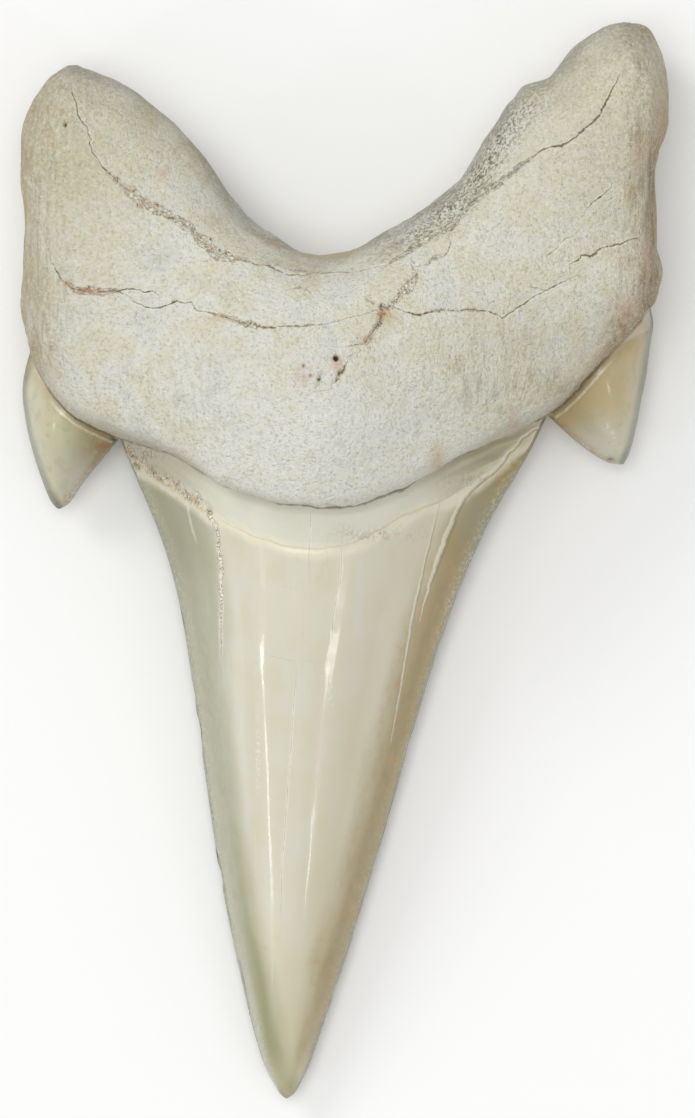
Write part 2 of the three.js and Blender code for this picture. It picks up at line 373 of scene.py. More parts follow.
ENAMEL_EDGE = Line([
    (-16.2, 8.8), (-15.3, 7.6), (-14.3, 6.6), (-12.7, 5.7), (-11.5, 5.1), (-10.2, 4.2), (-9.2, 3.2),
    (-8.0, 2.9), (-7.0, 2.4), (-5.5, 1.7), (-3.9, 1.1), (-1.9, 0.7), (-0.1, 1.0), (1.4, 1.5), (3.0, 2.3),
    (4.4, 3.4), (6.5, 4.2), (8.1, 4.7), (9.2, 5.5), (10.2, 6.3), (11.6, 7.6), (13.6, 9.2), (15.0, 10.6),
], jag=0.08, seed=4)
CROWN_LEFT = Line(curve([
    (-16.7, 10.8), (-15.8, 8.6), (-14.9, 6.4), (-13.5, 3.2), (-12.33, 0.0), (-11.33, -4.2), (-10.43, -10.5),
    (-9.53, -16.9), (-8.58, -23.2), (-7.23, -29.6), (-6.2, -33.8), (-5.5, -35.9), (-4.85, -37.3),
    (-4.0, -38.0), (-3.1, -37.3),
]))
CROWN_RIGHT = Line(curve([
    (15.8, 13.2), (14.4, 10.2), (12.98, 7.2), (11.0, 4.1), (9.28, 0.6), (7.38, -4.2), (5.36, -10.5),
    (3.56, -16.9), (1.68, -23.2), (-0.32, -29.6), (-1.77, -33.8), (-2.48, -35.9), (-3.12, -37.3),
    (-4.0, -38.0), (-4.8, -37.3),
]))
OUTER_SIDES = (
    Line([(-20.6, 34.2), (-22.3, 31.6), (-22.8, 27.2), (-22.5, 21.0), (-22.1, 14.9)]),
    Line([(21.6, 18.0), (22.0, 22.5), (21.9, 27.5), (22.8, 31.9), (22.5, 35.0), (21.4, 37.3)]),
)
CUSP_SIDES = (
    Line([(-22.1, 14.9), (-22.82, 12.0), (-22.45, 9.4), (-21.8, 7.0), (-21.0, 4.9), (-20.1, 3.6)]),
    Line([(21.6, 18.0), (21.7, 15.3), (21.3, 12.6), (20.9, 10.2), (20.4, 8.0), (19.8, 6.8)]),
)
CUSP_INNER_SIDES = (
    Line([(-15.8, 8.6), (-17.2, 6.9), (-18.2, 5.7), (-18.9, 4.8), (-19.4, 4.2)]),
    Line([(14.4, 10.2), (15.8, 8.9), (17.0, 7.9), (18.2, 7.1), (19.0, 6.8)]),
)
LABIAL_EDGE = Line([
    (-24.0, 15.9), (-22.1, 14.9), (-18.0, 12.9), (-13.0, 11.2), (-7.0, 9.8), (-1.0, 9.2), (5.0, 10.4),
    (11.0, 12.5), (17.0, 15.6), (21.6, 18.0), (24.0, 19.6),
], jag=0.2, seed=31)
# How far below the root's margin the fine ridge round the top of each cusplet runs.
CUSP_RIDGE = 0.42

# Cracks. Each table pairs a share of the way along with a half width, a depth or how filled it is.
ARCH_CRACK = Crack(
    Line([
        (-19.1, 33.2), (-18.4, 30.9), (-17.8, 29.8), (-17.8, 29.2), (-17.1, 27.9), (-15.1, 26.0),
        (-13.3, 24.8), (-10.8, 23.4), (-10.1, 22.6), (-8.9, 21.7), (-6.5, 21.0), (-4.1, 20.1), (-2.3, 20.1),
        (0.3, 20.2), (3.1, 20.7), (5.3, 22.2), (7.2, 23.2), (9.2, 25.3), (11.2, 26.8), (13.7, 28.7),
        (15.5, 29.2), (17.2, 30.5), (18.6, 32.5), (19.5, 34.2),
    ], jag=0.12, seed=11),
    width=[
        (0, 0.02), (0.03, 0.05), (0.11, 0.05), (0.13, 0.07), (0.17, 0.07), (0.2, 0.05), (0.33, 0.05),
        (0.36, 0.02), (0.38, 0.06), (0.42, 0.05), (0.45, 0.015), (0.6, 0.015), (0.66, 0.04), (0.72, 0.05),
        (0.8, 0.03), (0.84, 0.09), (0.95, 0.1), (0.99, 0.02), (1, 0),
    ],
    depth=[
        (0, 0.05), (0.05, 0.2), (0.15, 0.35), (0.3, 0.4), (0.42, 0.25), (0.47, 0.08), (0.57, 0.08),
        (0.65, 0.25), (0.8, 0.2), (0.95, 0.25), (1, 0),
    ],
    filled=[
        (0, 0), (0.13, 0.05), (0.16, 0.5), (0.18, 0.9), (0.22, 1), (0.24, 0.6), (0.26, 0.8), (0.33, 1),
        (0.36, 0.25), (0.45, 0.1), (0.56, 0.05), (0.61, 0.5), (0.72, 0.6), (0.8, 0.5), (0.84, 0.1), (1, 0),
    ],
)
OUTER_CRACK = Crack(
    Line([
        (-20.3, 20.7), (-19.7, 19.6), (-18.9, 19.0), (-16.9, 18.8), (-15.8, 18.9), (-14.8, 18.2),
        (-13.2, 17.7), (-11.7, 18.2), (-10.6, 18.1), (-10.3, 17.5), (-8.1, 17.0), (-5.6, 16.3),
        (-2.8, 16.4), (0.3, 17.0), (3.4, 17.8), (5.3, 17.2), (7.6, 17.5), (9.7, 17.5), (11.2, 17.0),
        (12.7, 18.0), (15.1, 19.4), (16.5, 20.0),
    ], jag=0.08, seed=12),
    width=[
        (0, 0.03), (0.03, 0.07), (0.09, 0.07), (0.14, 0.05), (0.18, 0.03), (0.21, 0.06), (0.25, 0.08),
        (0.28, 0.03), (0.33, 0.03), (0.38, 0.07), (0.41, 0.05), (0.44, 0.01), (0.48, 0.04), (0.54, 0.02),
        (0.6, 0.01), (0.65, 0.04), (0.7, 0.07), (0.78, 0.05), (0.82, 0.03), (0.87, 0.05), (0.96, 0.04),
        (1, 0),
    ],
    depth=[
        (0, 0.1), (0.08, 0.25), (0.2, 0.15), (0.26, 0.2), (0.32, 0.05), (0.39, 0.2), (0.45, 0.08),
        (0.6, 0.08), (0.7, 0.18), (0.85, 0.12), (0.97, 0.1), (1, 0),
    ],
    filled=[
        (0, 0.1), (0.06, 0.5), (0.09, 0.8), (0.12, 0.5), (0.15, 0.05), (0.3, 0), (0.36, 0.4), (0.4, 0.5),
        (0.44, 0.05), (0.49, 0.2), (0.53, 0.05), (0.66, 0.05), (0.72, 0.25), (0.79, 0.3), (0.83, 0), (1, 0),
    ],
)
BRANCH_CRACK = Crack(
    Line([(-15.8, 18.9), (-14.4, 19.0), (-13.4, 18.9), (-13.0, 18.6)], jag=0.05, seed=13),
    width=[(0, 0.06), (0.7, 0.05), (1, 0.02)],
    depth=[(0, 0.15), (1, 0.05)],
)
SLANT_CRACK = Crack(
    Line([
        (5.0, 20.1), (4.8, 19.4), (3.8, 18.3), (3.1, 17.7), (2.7, 17.4), (2.6, 16.7), (2.2, 16.3),
        (1.7, 15.5), (1.4, 15.2),
    ], jag=0.1, seed=14),
    width=[(0, 0.02), (0.12, 0.05), (0.4, 0.05), (0.5, 0.14), (0.7, 0.1), (1, 0.04)],
    depth=[(0, 0.05), (0.3, 0.12), (0.5, 0.3), (0.8, 0.25), (1, 0.1)],
    filled=[
        (0, 0.6), (0.15, 0.8), (0.35, 0.5), (0.45, 0.6), (0.55, 0.5), (0.75, 0.35), (0.95, 0.6), (1, 0.2),
    ],
)
RIGHT_CRACK = Crack(
    Line([
        (16.0, 20.8), (16.7, 21.4), (17.7, 21.5), (18.2, 22.0), (19.4, 22.2), (20.4, 22.6),
    ], jag=0.06, seed=15),
    width=[(0, 0.04), (0.3, 0.1), (0.7, 0.09), (1, 0.02)],
    depth=[(0, 0.05), (0.5, 0.18), (1, 0)],
)
LOBE_CRACK = Crack(
    Line([(17.0, 24.6), (17.6, 25.2), (18.2, 25.6), (18.9, 26.3)], jag=0.05, seed=16),
    width=[(0, 0.03), (0.5, 0.08), (1, 0.03)],
    depth=[(0, 0.05), (0.5, 0.12), (1, 0)],
)
MIDDLE_CRACK = Crack(
    Line([(5.9, 20.8), (6.3, 21.2), (7.1, 21.4), (7.4, 21.9), (7.4, 22.8)], jag=0.06, seed=17),
    width=[(0, 0.03), (0.5, 0.04), (1, 0.02)],
    depth=[(0, 0.05), (0.5, 0.1), (1, 0)],
    filled=[(0, 0.3), (0.3, 0.3), (1, 0)],
)
THIN_CRACK = Crack(
    Line([(14.4, 21.4), (15.3, 22.3), (16.1, 22.8)], jag=0.08, seed=19),
    width=[(0, 0.02), (0.5, 0.05), (1, 0.01)],
    depth=[(0, 0.05), (0.5, 0.1), (1, 0)],
)
SLOT_PORE = Crack(
    Line([(0.2, 13.7), (0.0, 13.3), (-0.3, 13.0), (-0.6, 12.5)], jag=0.04, seed=18),
    width=[(0, 0.03), (0.25, 0.14), (0.7, 0.16), (0.9, 0.09), (1, 0)],
    depth=[(0, 0.1), (0.3, 0.4), (0.8, 0.4), (1, 0.1)],
    filled=[(0, 0.1), (0.4, 0.35), (0.8, 0.35), (1, 0.1)],
)
CROWN_CRACK = Crack(
    Line([
        (-9.4, 3.3), (-9.0, 2.6), (-8.8, 1.6), (-8.7, 0.6), (-8.6, -0.7), (-8.6, -2.9), (-8.6, -5.5),
        (-8.6, -8.4),
    ], jag=0.04, seed=21),
    width=[(0, 0.06), (0.3, 0.06), (0.55, 0.05), (0.75, 0.03), (1, 0)],
    depth=[(0, 0.15), (0.5, 0.1), (1, 0.0)],
    filled=[(0, 0.35), (0.35, 0.32), (0.55, 0.25), (0.8, 0.1), (1, 0)],
)
FADING = ((0, 0.02), (0.3, 0.03), (0.8, 0.025), (1, 0))
HAIRLINES = tuple(
    Crack(Line(points, jag, seed), FADING, FADING)
    for points, jag, seed in (
        ([(-11.0, 4.3), (-10.7, 2.4), (-10.2, 1.0)], 0.03, 22),
        ([(-2.3, 3.4), (-2.3, 2.0), (-2.4, 0.3)], 0.03, 23),
        ([(-0.1, 0.7), (-0.2, -1.7), (-0.6, -3.2), (-0.8, -6.0)], 0.04, 24),
        ([(-3.4, -9.0), (-3.9, -16.0), (-4.3, -21.0), (-4.4, -25.0)], 0.04, 25),
    )
)
SPLIT_WIDTH = ((0, 0.02), (0.3, 0.05), (0.7, 0.05), (1, 0.02))
SPLIT_DEPTH = ((0, 0.1), (0.5, 0.3), (1, 0.1))
SPLITS = tuple(
    Crack(Line(points, jag, seed), SPLIT_WIDTH, SPLIT_DEPTH)
    for points, jag, seed in (
        ([(-22.4, 27.3), (-22.1, 26.7), (-21.6, 25.9)], 0.06, 41),
        (
            [(-21.1, 25.4), (-21.0, 24.4), (-21.25, 23.4), (-21.2, 22.4), (-21.1, 21.5), (-20.8, 21.0)],
            0.1,
            42,
        ),
        ([(-21.0, 16.1), (-20.9, 15.0), (-21.1, 13.9)], 0.06, 43),
        ([(21.3, 22.8), (21.2, 21.4), (21.4, 20.0), (21.2, 18.6)], 0.1, 44),
        ([(20.9, 24.4), (21.2, 26.0), (21.2, 27.4), (21.3, 29.2)], 0.1, 45),
        ([(19.4, 17.9), (19.2, 16.6), (19.4, 15.6)], 0.1, 47),
    )
)
# The crown's two fine ridges, as cracks whose depth is a height.
RIDGES = (
    Crack(
        Line([
            (13.7, 9.4), (12.9, 8.9), (12.3, 8.3), (11.6, 7.7), (10.8, 6.6), (10.0, 6.0), (9.2, 5.3),
            (8.3, 4.3), (7.7, 3.0), (7.2, 1.8), (6.8, 0.6), (6.4, -0.5), (6.0, -1.7), (5.6, -3.2),
            (5.4, -4.4),
        ], jag=0.04, seed=26),
        width=[(0, 0.08), (0.3, 0.14), (0.5, 0.15), (0.65, 0.19), (0.75, 0.15), (0.85, 0.1), (1, 0)],
        depth=[(0, 0.05), (0.3, 0.12), (0.8, 0.1), (1, 0)],
    ),
    Crack(
        Line([
            (6.7, 4.0), (6.3, 2.4), (5.7, 0.0), (5.3, -1.9), (4.8, -4.1), (4.4, -6.6), (4.0, -9.1),
            (3.3, -13.0),
        ], jag=0.03, seed=27),
        width=[(0, 0.03), (0.1, 0.07), (0.45, 0.1), (0.6, 0.08), (1, 0)],
        depth=[(0, 0.03), (0.2, 0.08), (0.6, 0.07), (1, 0)],
    ),
)
ROOT_CRACKS = (
    CrackGroup("long", (ARCH_CRACK, OUTER_CRACK, LOBE_CRACK)),
    CrackGroup("short", (SLANT_CRACK, RIGHT_CRACK, BRANCH_CRACK)),
    CrackGroup("small", (MIDDLE_CRACK, THIN_CRACK, SLOT_PORE)),
    CrackGroup("split", SPLITS, 0.35),
)
CROWN_CRACKS = (
    CrackGroup("seam", (CROWN_CRACK,), 0.35, 0.6),
    CrackGroup("hair", HAIRLINES, 0.3, 0.7, 0.12),
)
CROWN_RIDGES = (CrackGroup("ridge_a", RIDGES[:1]), CrackGroup("ridge_b", RIDGES[1:]))

PITS = (
    Pit(-0.52, 14.15, 0.2, 0.45),
    Pit(-1.7, 12.75, 0.13, 0.35),
    Pit(-2.8, 13.6, 0.08, 0.12),
    Pit(-2.3, 12.95, 0.08, 0.12),
    Pit(-19.5, 30.6, 0.12, 0.25),
    Pit(-20.4, 29.2, 0.09, 0.12),
    Pit(-19.4, 13.9, 0.09, 0.15),
    Pit(-16.9, 15.5, 0.08, 0.12),
    Pit(8.3, 21.9, 0.08, 0.12),
    Pit(5.8, 14.0, 0.08, 0.12),
    Pit(-22.4, 28.7, 0.08, 0.12),
)
# Soft oval spots, by what they mark: x, y, half width, half height and strength.
SPOTS: dict[str, tuple[tuple[float, ...], ...]] = {
    "dusk": ((11.5, 8.0, 4.0, 2.5, 1.0), (8.0, 5.8, 3.0, 1.5, 0.3), (-13.0, 6.5, 3.0, 2.0, 0.6)),
    "fold": ((19.4, 15.6, 1.6, 2.2, 0.9), (15.2, 12.2, 2.0, 1.2, 0.5)),
    "smudges": ((-12.7, 21.1, 0.7, 0.6, 0.3), (-8.3, 19.0, 0.7, 1.0, 0.3), (-8.9, 13.7, 1.3, 0.9, 0.21)),
    "fibre": ((11.0, 12.5, 7.0, 4.0, 0.8), (-13.0, 11.0, 6.0, 3.5, 0.56)),
    "warm": (
        (-19.5, 30.0, 7.0, 8.0, 1.0), (20.0, 31.0, 8.0, 9.0, 1.0), (10.0, 12.5, 6.0, 4.0, 0.5),
        (-21.0, 18.0, 3.0, 9.0, 0.35),
    ),
    # painted light: the root's low middle, where it bulges towards the light, and a paler patch below the
    # notch on the left
    "pale": ((-1.0, 8.0, 10.0, 5.0, 1.0), (-10.0, 21.8, 2.6, 1.3, 0.5)),
    "rust": (
        (-18.2, 18.95, 0.6, 0.2, 1.3), (-19.4, 19.4, 0.35, 0.3, 0.7), (-17.0, 18.85, 0.6, 0.14, 0.9),
        (-8.6, 16.9, 0.7, 0.3, 0.4), (-19.8, 31.7, 0.3, 0.4, 0.6), (-20.7, 29.8, 0.35, 0.4, 0.7),
        (-2.9, 12.9, 0.5, 0.6, 0.7), (-0.5, 13.6, 0.5, 0.7, 0.5), (2.75, 17.3, 0.35, 0.35, 0.9),
        (1.6, 15.4, 0.35, 0.4, 0.6), (20.2, 25.8, 0.35, 0.6, 0.6), (20.9, 28.8, 0.5, 1.3, 0.5),
        (19.8, 20.7, 0.5, 0.6, 0.4), (21.3, 20.8, 0.3, 1.8, 0.5), (17.6, 14.6, 1.6, 1.2, 0.3),
        (19.8, 17.4, 0.8, 1.3, 0.4), (-20.6, 14.6, 0.5, 1.0, 0.3), (6.4, 7.0, 0.5, 0.8, 0.4),
        (11.9, 9.9, 0.5, 0.8, 0.5), (-12.6, 27.2, 0.5, 0.6, 0.5), (-8.5, 24.0, 0.8, 0.5, 0.3),
        (-5.5, 22.2, 1.2, 0.4, 0.45), (21.9, 24.0, 0.4, 1.4, 0.4), (22.3, 31.5, 0.4, 1.2, 0.4),
    ),
    "yellow": (
        (-22.2, 24.8, 0.35, 1.2, 1.0), (-20.4, 17.9, 0.6, 0.7, 0.7), (-22.0, 20.5, 0.5, 1.2, 0.5),
        (-13.0, 24.8, 2.5, 0.9, 0.3), (-19.0, 27.5, 2.0, 2.5, 0.5), (14.0, 15.5, 2.5, 2.0, 0.4),
        (6.6, 7.6, 0.4, 1.0, 0.8), (3.0, 17.2, 1.0, 0.8, 0.7), (-1.0, 21.5, 2.6, 0.6, 0.8),
        (14.5, 32.5, 1.6, 0.8, 0.5), (-12.8, 31.2, 1.5, 1.6, 0.6), (-10.4, 28.2, 1.0, 1.6, 0.4),
    ),
    "corner": ((-14.4, 7.2, 1.3, 0.9, 0.8),),
    "crumbs": ((2.4, 1.9, 2.6, 0.45, 0.55), (9.2, 5.6, 2.5, 0.6, 0.35)),
    "worn": (
        (-5.4, -10.2, 1.6, 0.7, 1.0), (-1.3, -13.6, 1.6, 3.3, 3.0), (20.6, 16.0, 1.2, 1.8, 1.5),
        (-5.2, -26.8, 1.0, 2.6, 2.0),
    ),
    # painted highlights: small white glints along the crown's two highlights and on the right cusplet
    "painted_glints": (
        (-6.0, -13.6, 0.16, 2.6, 1.0), (-0.9, -9.2, 0.2, 1.6, 0.7), (18.5, 9.5, 0.16, 0.35, 1.0),
        (19.0, 8.7, 0.14, 0.4, 1.0),
    ),
    "chip": ((18.85, 7.15, 0.25, 0.13, 1.0), (-16.25, 8.55, 0.25, 0.15, 1.0)),
    "smoke": ((-12.0, 0.5, 1.7, 4.5, 1.0), (9.4, 3.0, 2.2, 3.6, 1.0)),
    "inner": ((-16.4, 8.6, 1.4, 0.9, 1.0), (-17.6, 7.2, 1.2, 1.4, 0.8), (18.9, 7.2, 0.4, 0.25, 0.6)),
    "cusp_pale": ((-18.7, 5.6, 1.3, 2.2, 1.3), (18.0, 8.0, 2.2, 1.8, 1.0)),
    "cusp_warm": ((17.8, 12.0, 3.0, 2.3, 1.0), (15.3, 10.0, 1.8, 1.2, 0.8), (20.8, 15.6, 1.6, 2.6, 1.0)),
}
# Small corrections to the form in plan: x, y, half width, half height, and how far it moves along x.
PLAN_SHIFTS = (
    (-22.6, 24.0, 2.5, 2.4, 0.3), (-22.5, 18.3, 2.5, 2.0, -0.3), (22.0, 25.2, 2.5, 1.8, -0.15),
    (22.0, 20.3, 2.5, 1.6, 0.25), (21.8, 16.7, 1.2, 0.9, 0.2), (13.4, 33.5, 1.2, 0.7, -0.25),
    (8.6, 27.9, 1.6, 1.8, 0.2), (-9.9, 28.6, 1.6, 1.6, 0.15), (-5.4, -7.0, 2.0, 6.0, -0.5),
    (-5.0, -24.0, 1.6, 4.0, 0.4),
)
# How much wider the crown gets at each height above its tip.
TIP_WIDTH = (
    (0.0, 2.2), (0.07, 1.6), (0.14, 1.34), (0.28, 1.07), (0.42, 0.97), (0.7, 0.875), (1.06, 0.88),
    (1.41, 0.92), (1.8, 0.96), (2.4, 1.0),
)
SHORT_CRACKS = (BRANCH_CRACK, SLANT_CRACK, RIGHT_CRACK, LOBE_CRACK, MIDDLE_CRACK, THIN_CRACK)
# The lines along which the mesh is made finer, and how far to each side.
FINE_LINES = (
    (ARCH_CRACK.line, 0.5),
    (OUTER_CRACK.line, 0.3),
    *((crack.line, 0.35) for crack in SHORT_CRACKS),
    *((ridge.line, 0.3) for ridge in RIDGES),
    (SLOT_PORE.line, 0.6),
    (CROWN_CRACK.line, 0.3),
    (ENAMEL_EDGE, 0.35),
    (MARGIN, 0.3),
    (Line([(-3.0, 13.4), (-1.7, 12.75)]), 0.5),
    (Line([(-0.6, 14.15), (-0.4, 14.15)]), 0.6),
)


# ------------------------------------------------------------------------------------------------
# The fine mesh
# ------------------------------------------------------------------------------------------------


@dataclass
class Skin:
    """The fine surface as arrays, in design millimetres, with its masks."""

    points: np.ndarray
    normals: np.ndarray
    masks: dict[str, np.ndarray] = field(default_factory=dict)

    @property
    def plan(self) -> np.ndarray:
        """The x and y of each point."""
        return self.points[:, :2]

    def move(self, height: np.ndarray) -> None:
        """Moves the points along their normals.

        Args:
            height: how far each point moves out.
        """
        self.points = self.points + self.normals * height[:, None]

    @classmethod
    def read(cls, tooth: bpy.types.Object, plan: Plan) -> "Skin":
        """Reads a mesh as arrays.

        Args:
            tooth: the object.
            plan: the plan, for its scale.

        Returns:
            The object's points and normals.
        """
        count = len(tooth.data.vertices)
        places = np.empty(count * 3)
        normals = np.empty(count * 3)
        tooth.data.vertices.foreach_get("co", places)
        tooth.data.vertices.foreach_get("normal", normals)
        return cls(plan.design(places.reshape(-1, 3)), normals.reshape(-1, 3))

    def write(self, tooth: bpy.types.Object, plan: Plan) -> None:
        """Writes the arrays back: the points, and each mask as a point attribute.

        Args:
            tooth: the object, which is changed.
            plan: the plan, for its scale and its box.
        """
        places = np.clip(plan.metres(self.points), np.array(plan.low), np.array(plan.high))
        tooth.data.vertices.foreach_set("co", places.ravel())
        for name, values in self.masks.items():
            layer = tooth.data.attributes.new(name, "FLOAT", "POINT")
            layer.data.foreach_set("value", values.astype(np.float32))
        tooth.data.update()


@dataclass
class FineTooth:
    """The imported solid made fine: clean four-sided faces, subdivided, and finer along the cracks."""

    plan: Plan
    levels: int = 2
    merge: float = 1e-3
    pair_angles: Pair = (60.0, 80.0)
    crease_angle: float = 50.0
    crease: float = 0.75
    heal_reach: float = 0.7
    heal_depth: float = 0.04
    heal_above: float = 7.0
    passes: int = 2
    longest: float = 0.15

    def build(self) -> bpy.types.Object:
        """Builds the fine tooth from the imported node.

        Returns:
            The tooth's object, without its relief.
        """
        coarse = bpy.data.objects.new("tooth_base", self._base_mesh())
        bpy.context.scene.collection.objects.link(coarse)
        subdivision = coarse.modifiers.new("subdivision", "SUBSURF")
        subdivision.levels = self.levels
        subdivision.render_levels = self.levels
        graph = bpy.context.evaluated_depsgraph_get()
        fine = bpy.data.meshes.new_from_object(coarse.evaluated_get(graph))
        bpy.data.objects.remove(coarse)
        fine.name = "tooth"
        self._refine(fine)
        if "crease_edge" in fine.attributes:
            fine.attributes.remove(fine.attributes["crease_edge"])
        fine.materials.clear()
        tooth = bpy.data.objects.new("tooth", fine)
        bpy.context.scene.collection.objects.link(tooth)
        return tooth

    def _base_mesh(self) -> bpy.types.Mesh:
        """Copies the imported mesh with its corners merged, its cracks filled and its faces paired.

        Returns:
            The base mesh, creased along its sharp edges.
        """
        shape = bmesh.new()
        shape.from_mesh(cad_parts[NODE].data)
        bmesh.ops.remove_doubles(shape, verts=shape.verts, dist=self.merge * self.plan.millimetre)
        self._heal(shape)
        fold, skew = (math.radians(angle) for angle in self.pair_angles)
        bmesh.ops.join_triangles(
            shape, faces=shape.faces, angle_face_threshold=fold, angle_shape_threshold=skew
        )
        crease = shape.edges.layers.float.new("crease_edge")
        for edge in shape.edges:
            if edge.is_manifold and edge.calc_face_angle() > math.radians(self.crease_angle):
                edge[crease] = self.crease
        mesh = bpy.data.meshes.new("tooth_base")
        shape.to_mesh(mesh)
        shape.free()
        return mesh

    def _heal(self, shape: bmesh.types.BMesh) -> None:
        """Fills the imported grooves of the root's cracks, which are carved anew on the fine mesh.

        Args:
            shape: the base mesh.
        """
        shape.verts.ensure_lookup_table()
        corners = self.plan.design(np.array([vert.co for vert in shape.verts]))
        grooves = [crack.line for crack in (ARCH_CRACK, OUTER_CRACK, RIGHT_CRACK)]
        near = nearest(grooves, corners[:, :2], 6.0) < self.heal_reach
        low = set()
        for index in np.nonzero(near & (corners[:, 2] > self.heal_above))[0]:
            vert = shape.verts[index]
            around = [edge.other_vert(vert).co for edge in vert.link_edges]
            middle = sum(around, Vector()) / len(around)
            if middle.z - vert.co.z > self.heal_depth * self.plan.millimetre:
                low.add(vert)
        moved = {}
        for vert in low:
            rims = [edge.other_vert(vert) for edge in vert.link_edges]
            rims = [rim.co for rim in rims if rim not in low]
            if rims:
                moved[vert] = sum(rims, Vector()) / len(rims)
        for vert, place in moved.items():
            vert.co = place
        LOG.info("filled %d groove corners", len(moved))

    def _refine(self, mesh: bpy.types.Mesh) -> None:
        """Splits the long edges along the fine lines once more for each pass.

        Args:
            mesh: the subdivided mesh, which is changed.
        """
        shape = bmesh.new()
        shape.from_mesh(mesh)
        limit = self.longest * self.plan.millimetre
        for _ in range(self.passes):
            shape.normal_update()
            corners = self.plan.design(np.array([vert.co for vert in shape.verts]))
            up = np.array([vert.normal.z for vert in shape.verts])
            near = np.zeros(len(corners), bool)
            for line, reach in FINE_LINES:
                distance, _, _ = line.measure(corners[:, :2], reach=1.5)
                near |= (distance < reach) & (up > 0.1)
            edges = [
                edge
                for edge in shape.edges
                if near[edge.verts[0].index] and near[edge.verts[1].index] and edge.calc_length() > limit
            ]
            bmesh.ops.subdivide_edges(shape, edges=edges, cuts=1, use_grid_fill=True)
            shape.verts.index_update()
        shape.to_mesh(mesh)
        shape.free()
        for polygon in mesh.polygons:
            polygon.use_smooth = True


def spot(plan: np.ndarray, x: float, y: float, wide: float, high: float) -> np.ndarray:
    """A soft oval spot in plan.

    Args:
        plan: x and y of each point.
        x: where its middle is.
        y: where its middle is.
        wide: its half width.
        high: its half height.

    Returns:
        1 in the middle, falling to 0.
    """
    away = (plan - np.array((x, y))) / np.array((wide, high))
    return np.exp(-(away * away).sum(1))


def spots(plan: np.ndarray, name: str) -> np.ndarray:
    """The sum of one set of spots.

    Args:
        plan: x and y of each point.
        name: the set's name in SPOTS.

    Returns:
        The sum at each point.
    """
    return sum(strength * spot(plan, x, y, wide, high) for x, y, wide, high, strength in SPOTS[name])


def nearest(lines: Sequence[Line], plan: np.ndarray, reach: float) -> np.ndarray:
    """The distance to the nearest of some lines.

    Args:
        lines: the lines.
        plan: x and y of each point.
        reach: points further than this from a line's box aren't measured against it.

    Returns:
        The distance of each point.
    """
    return np.minimum.reduce([line.measure(plan, reach)[0] for line in lines])


# ------------------------------------------------------------------------------------------------
# Relief and masks, part by part
# ------------------------------------------------------------------------------------------------


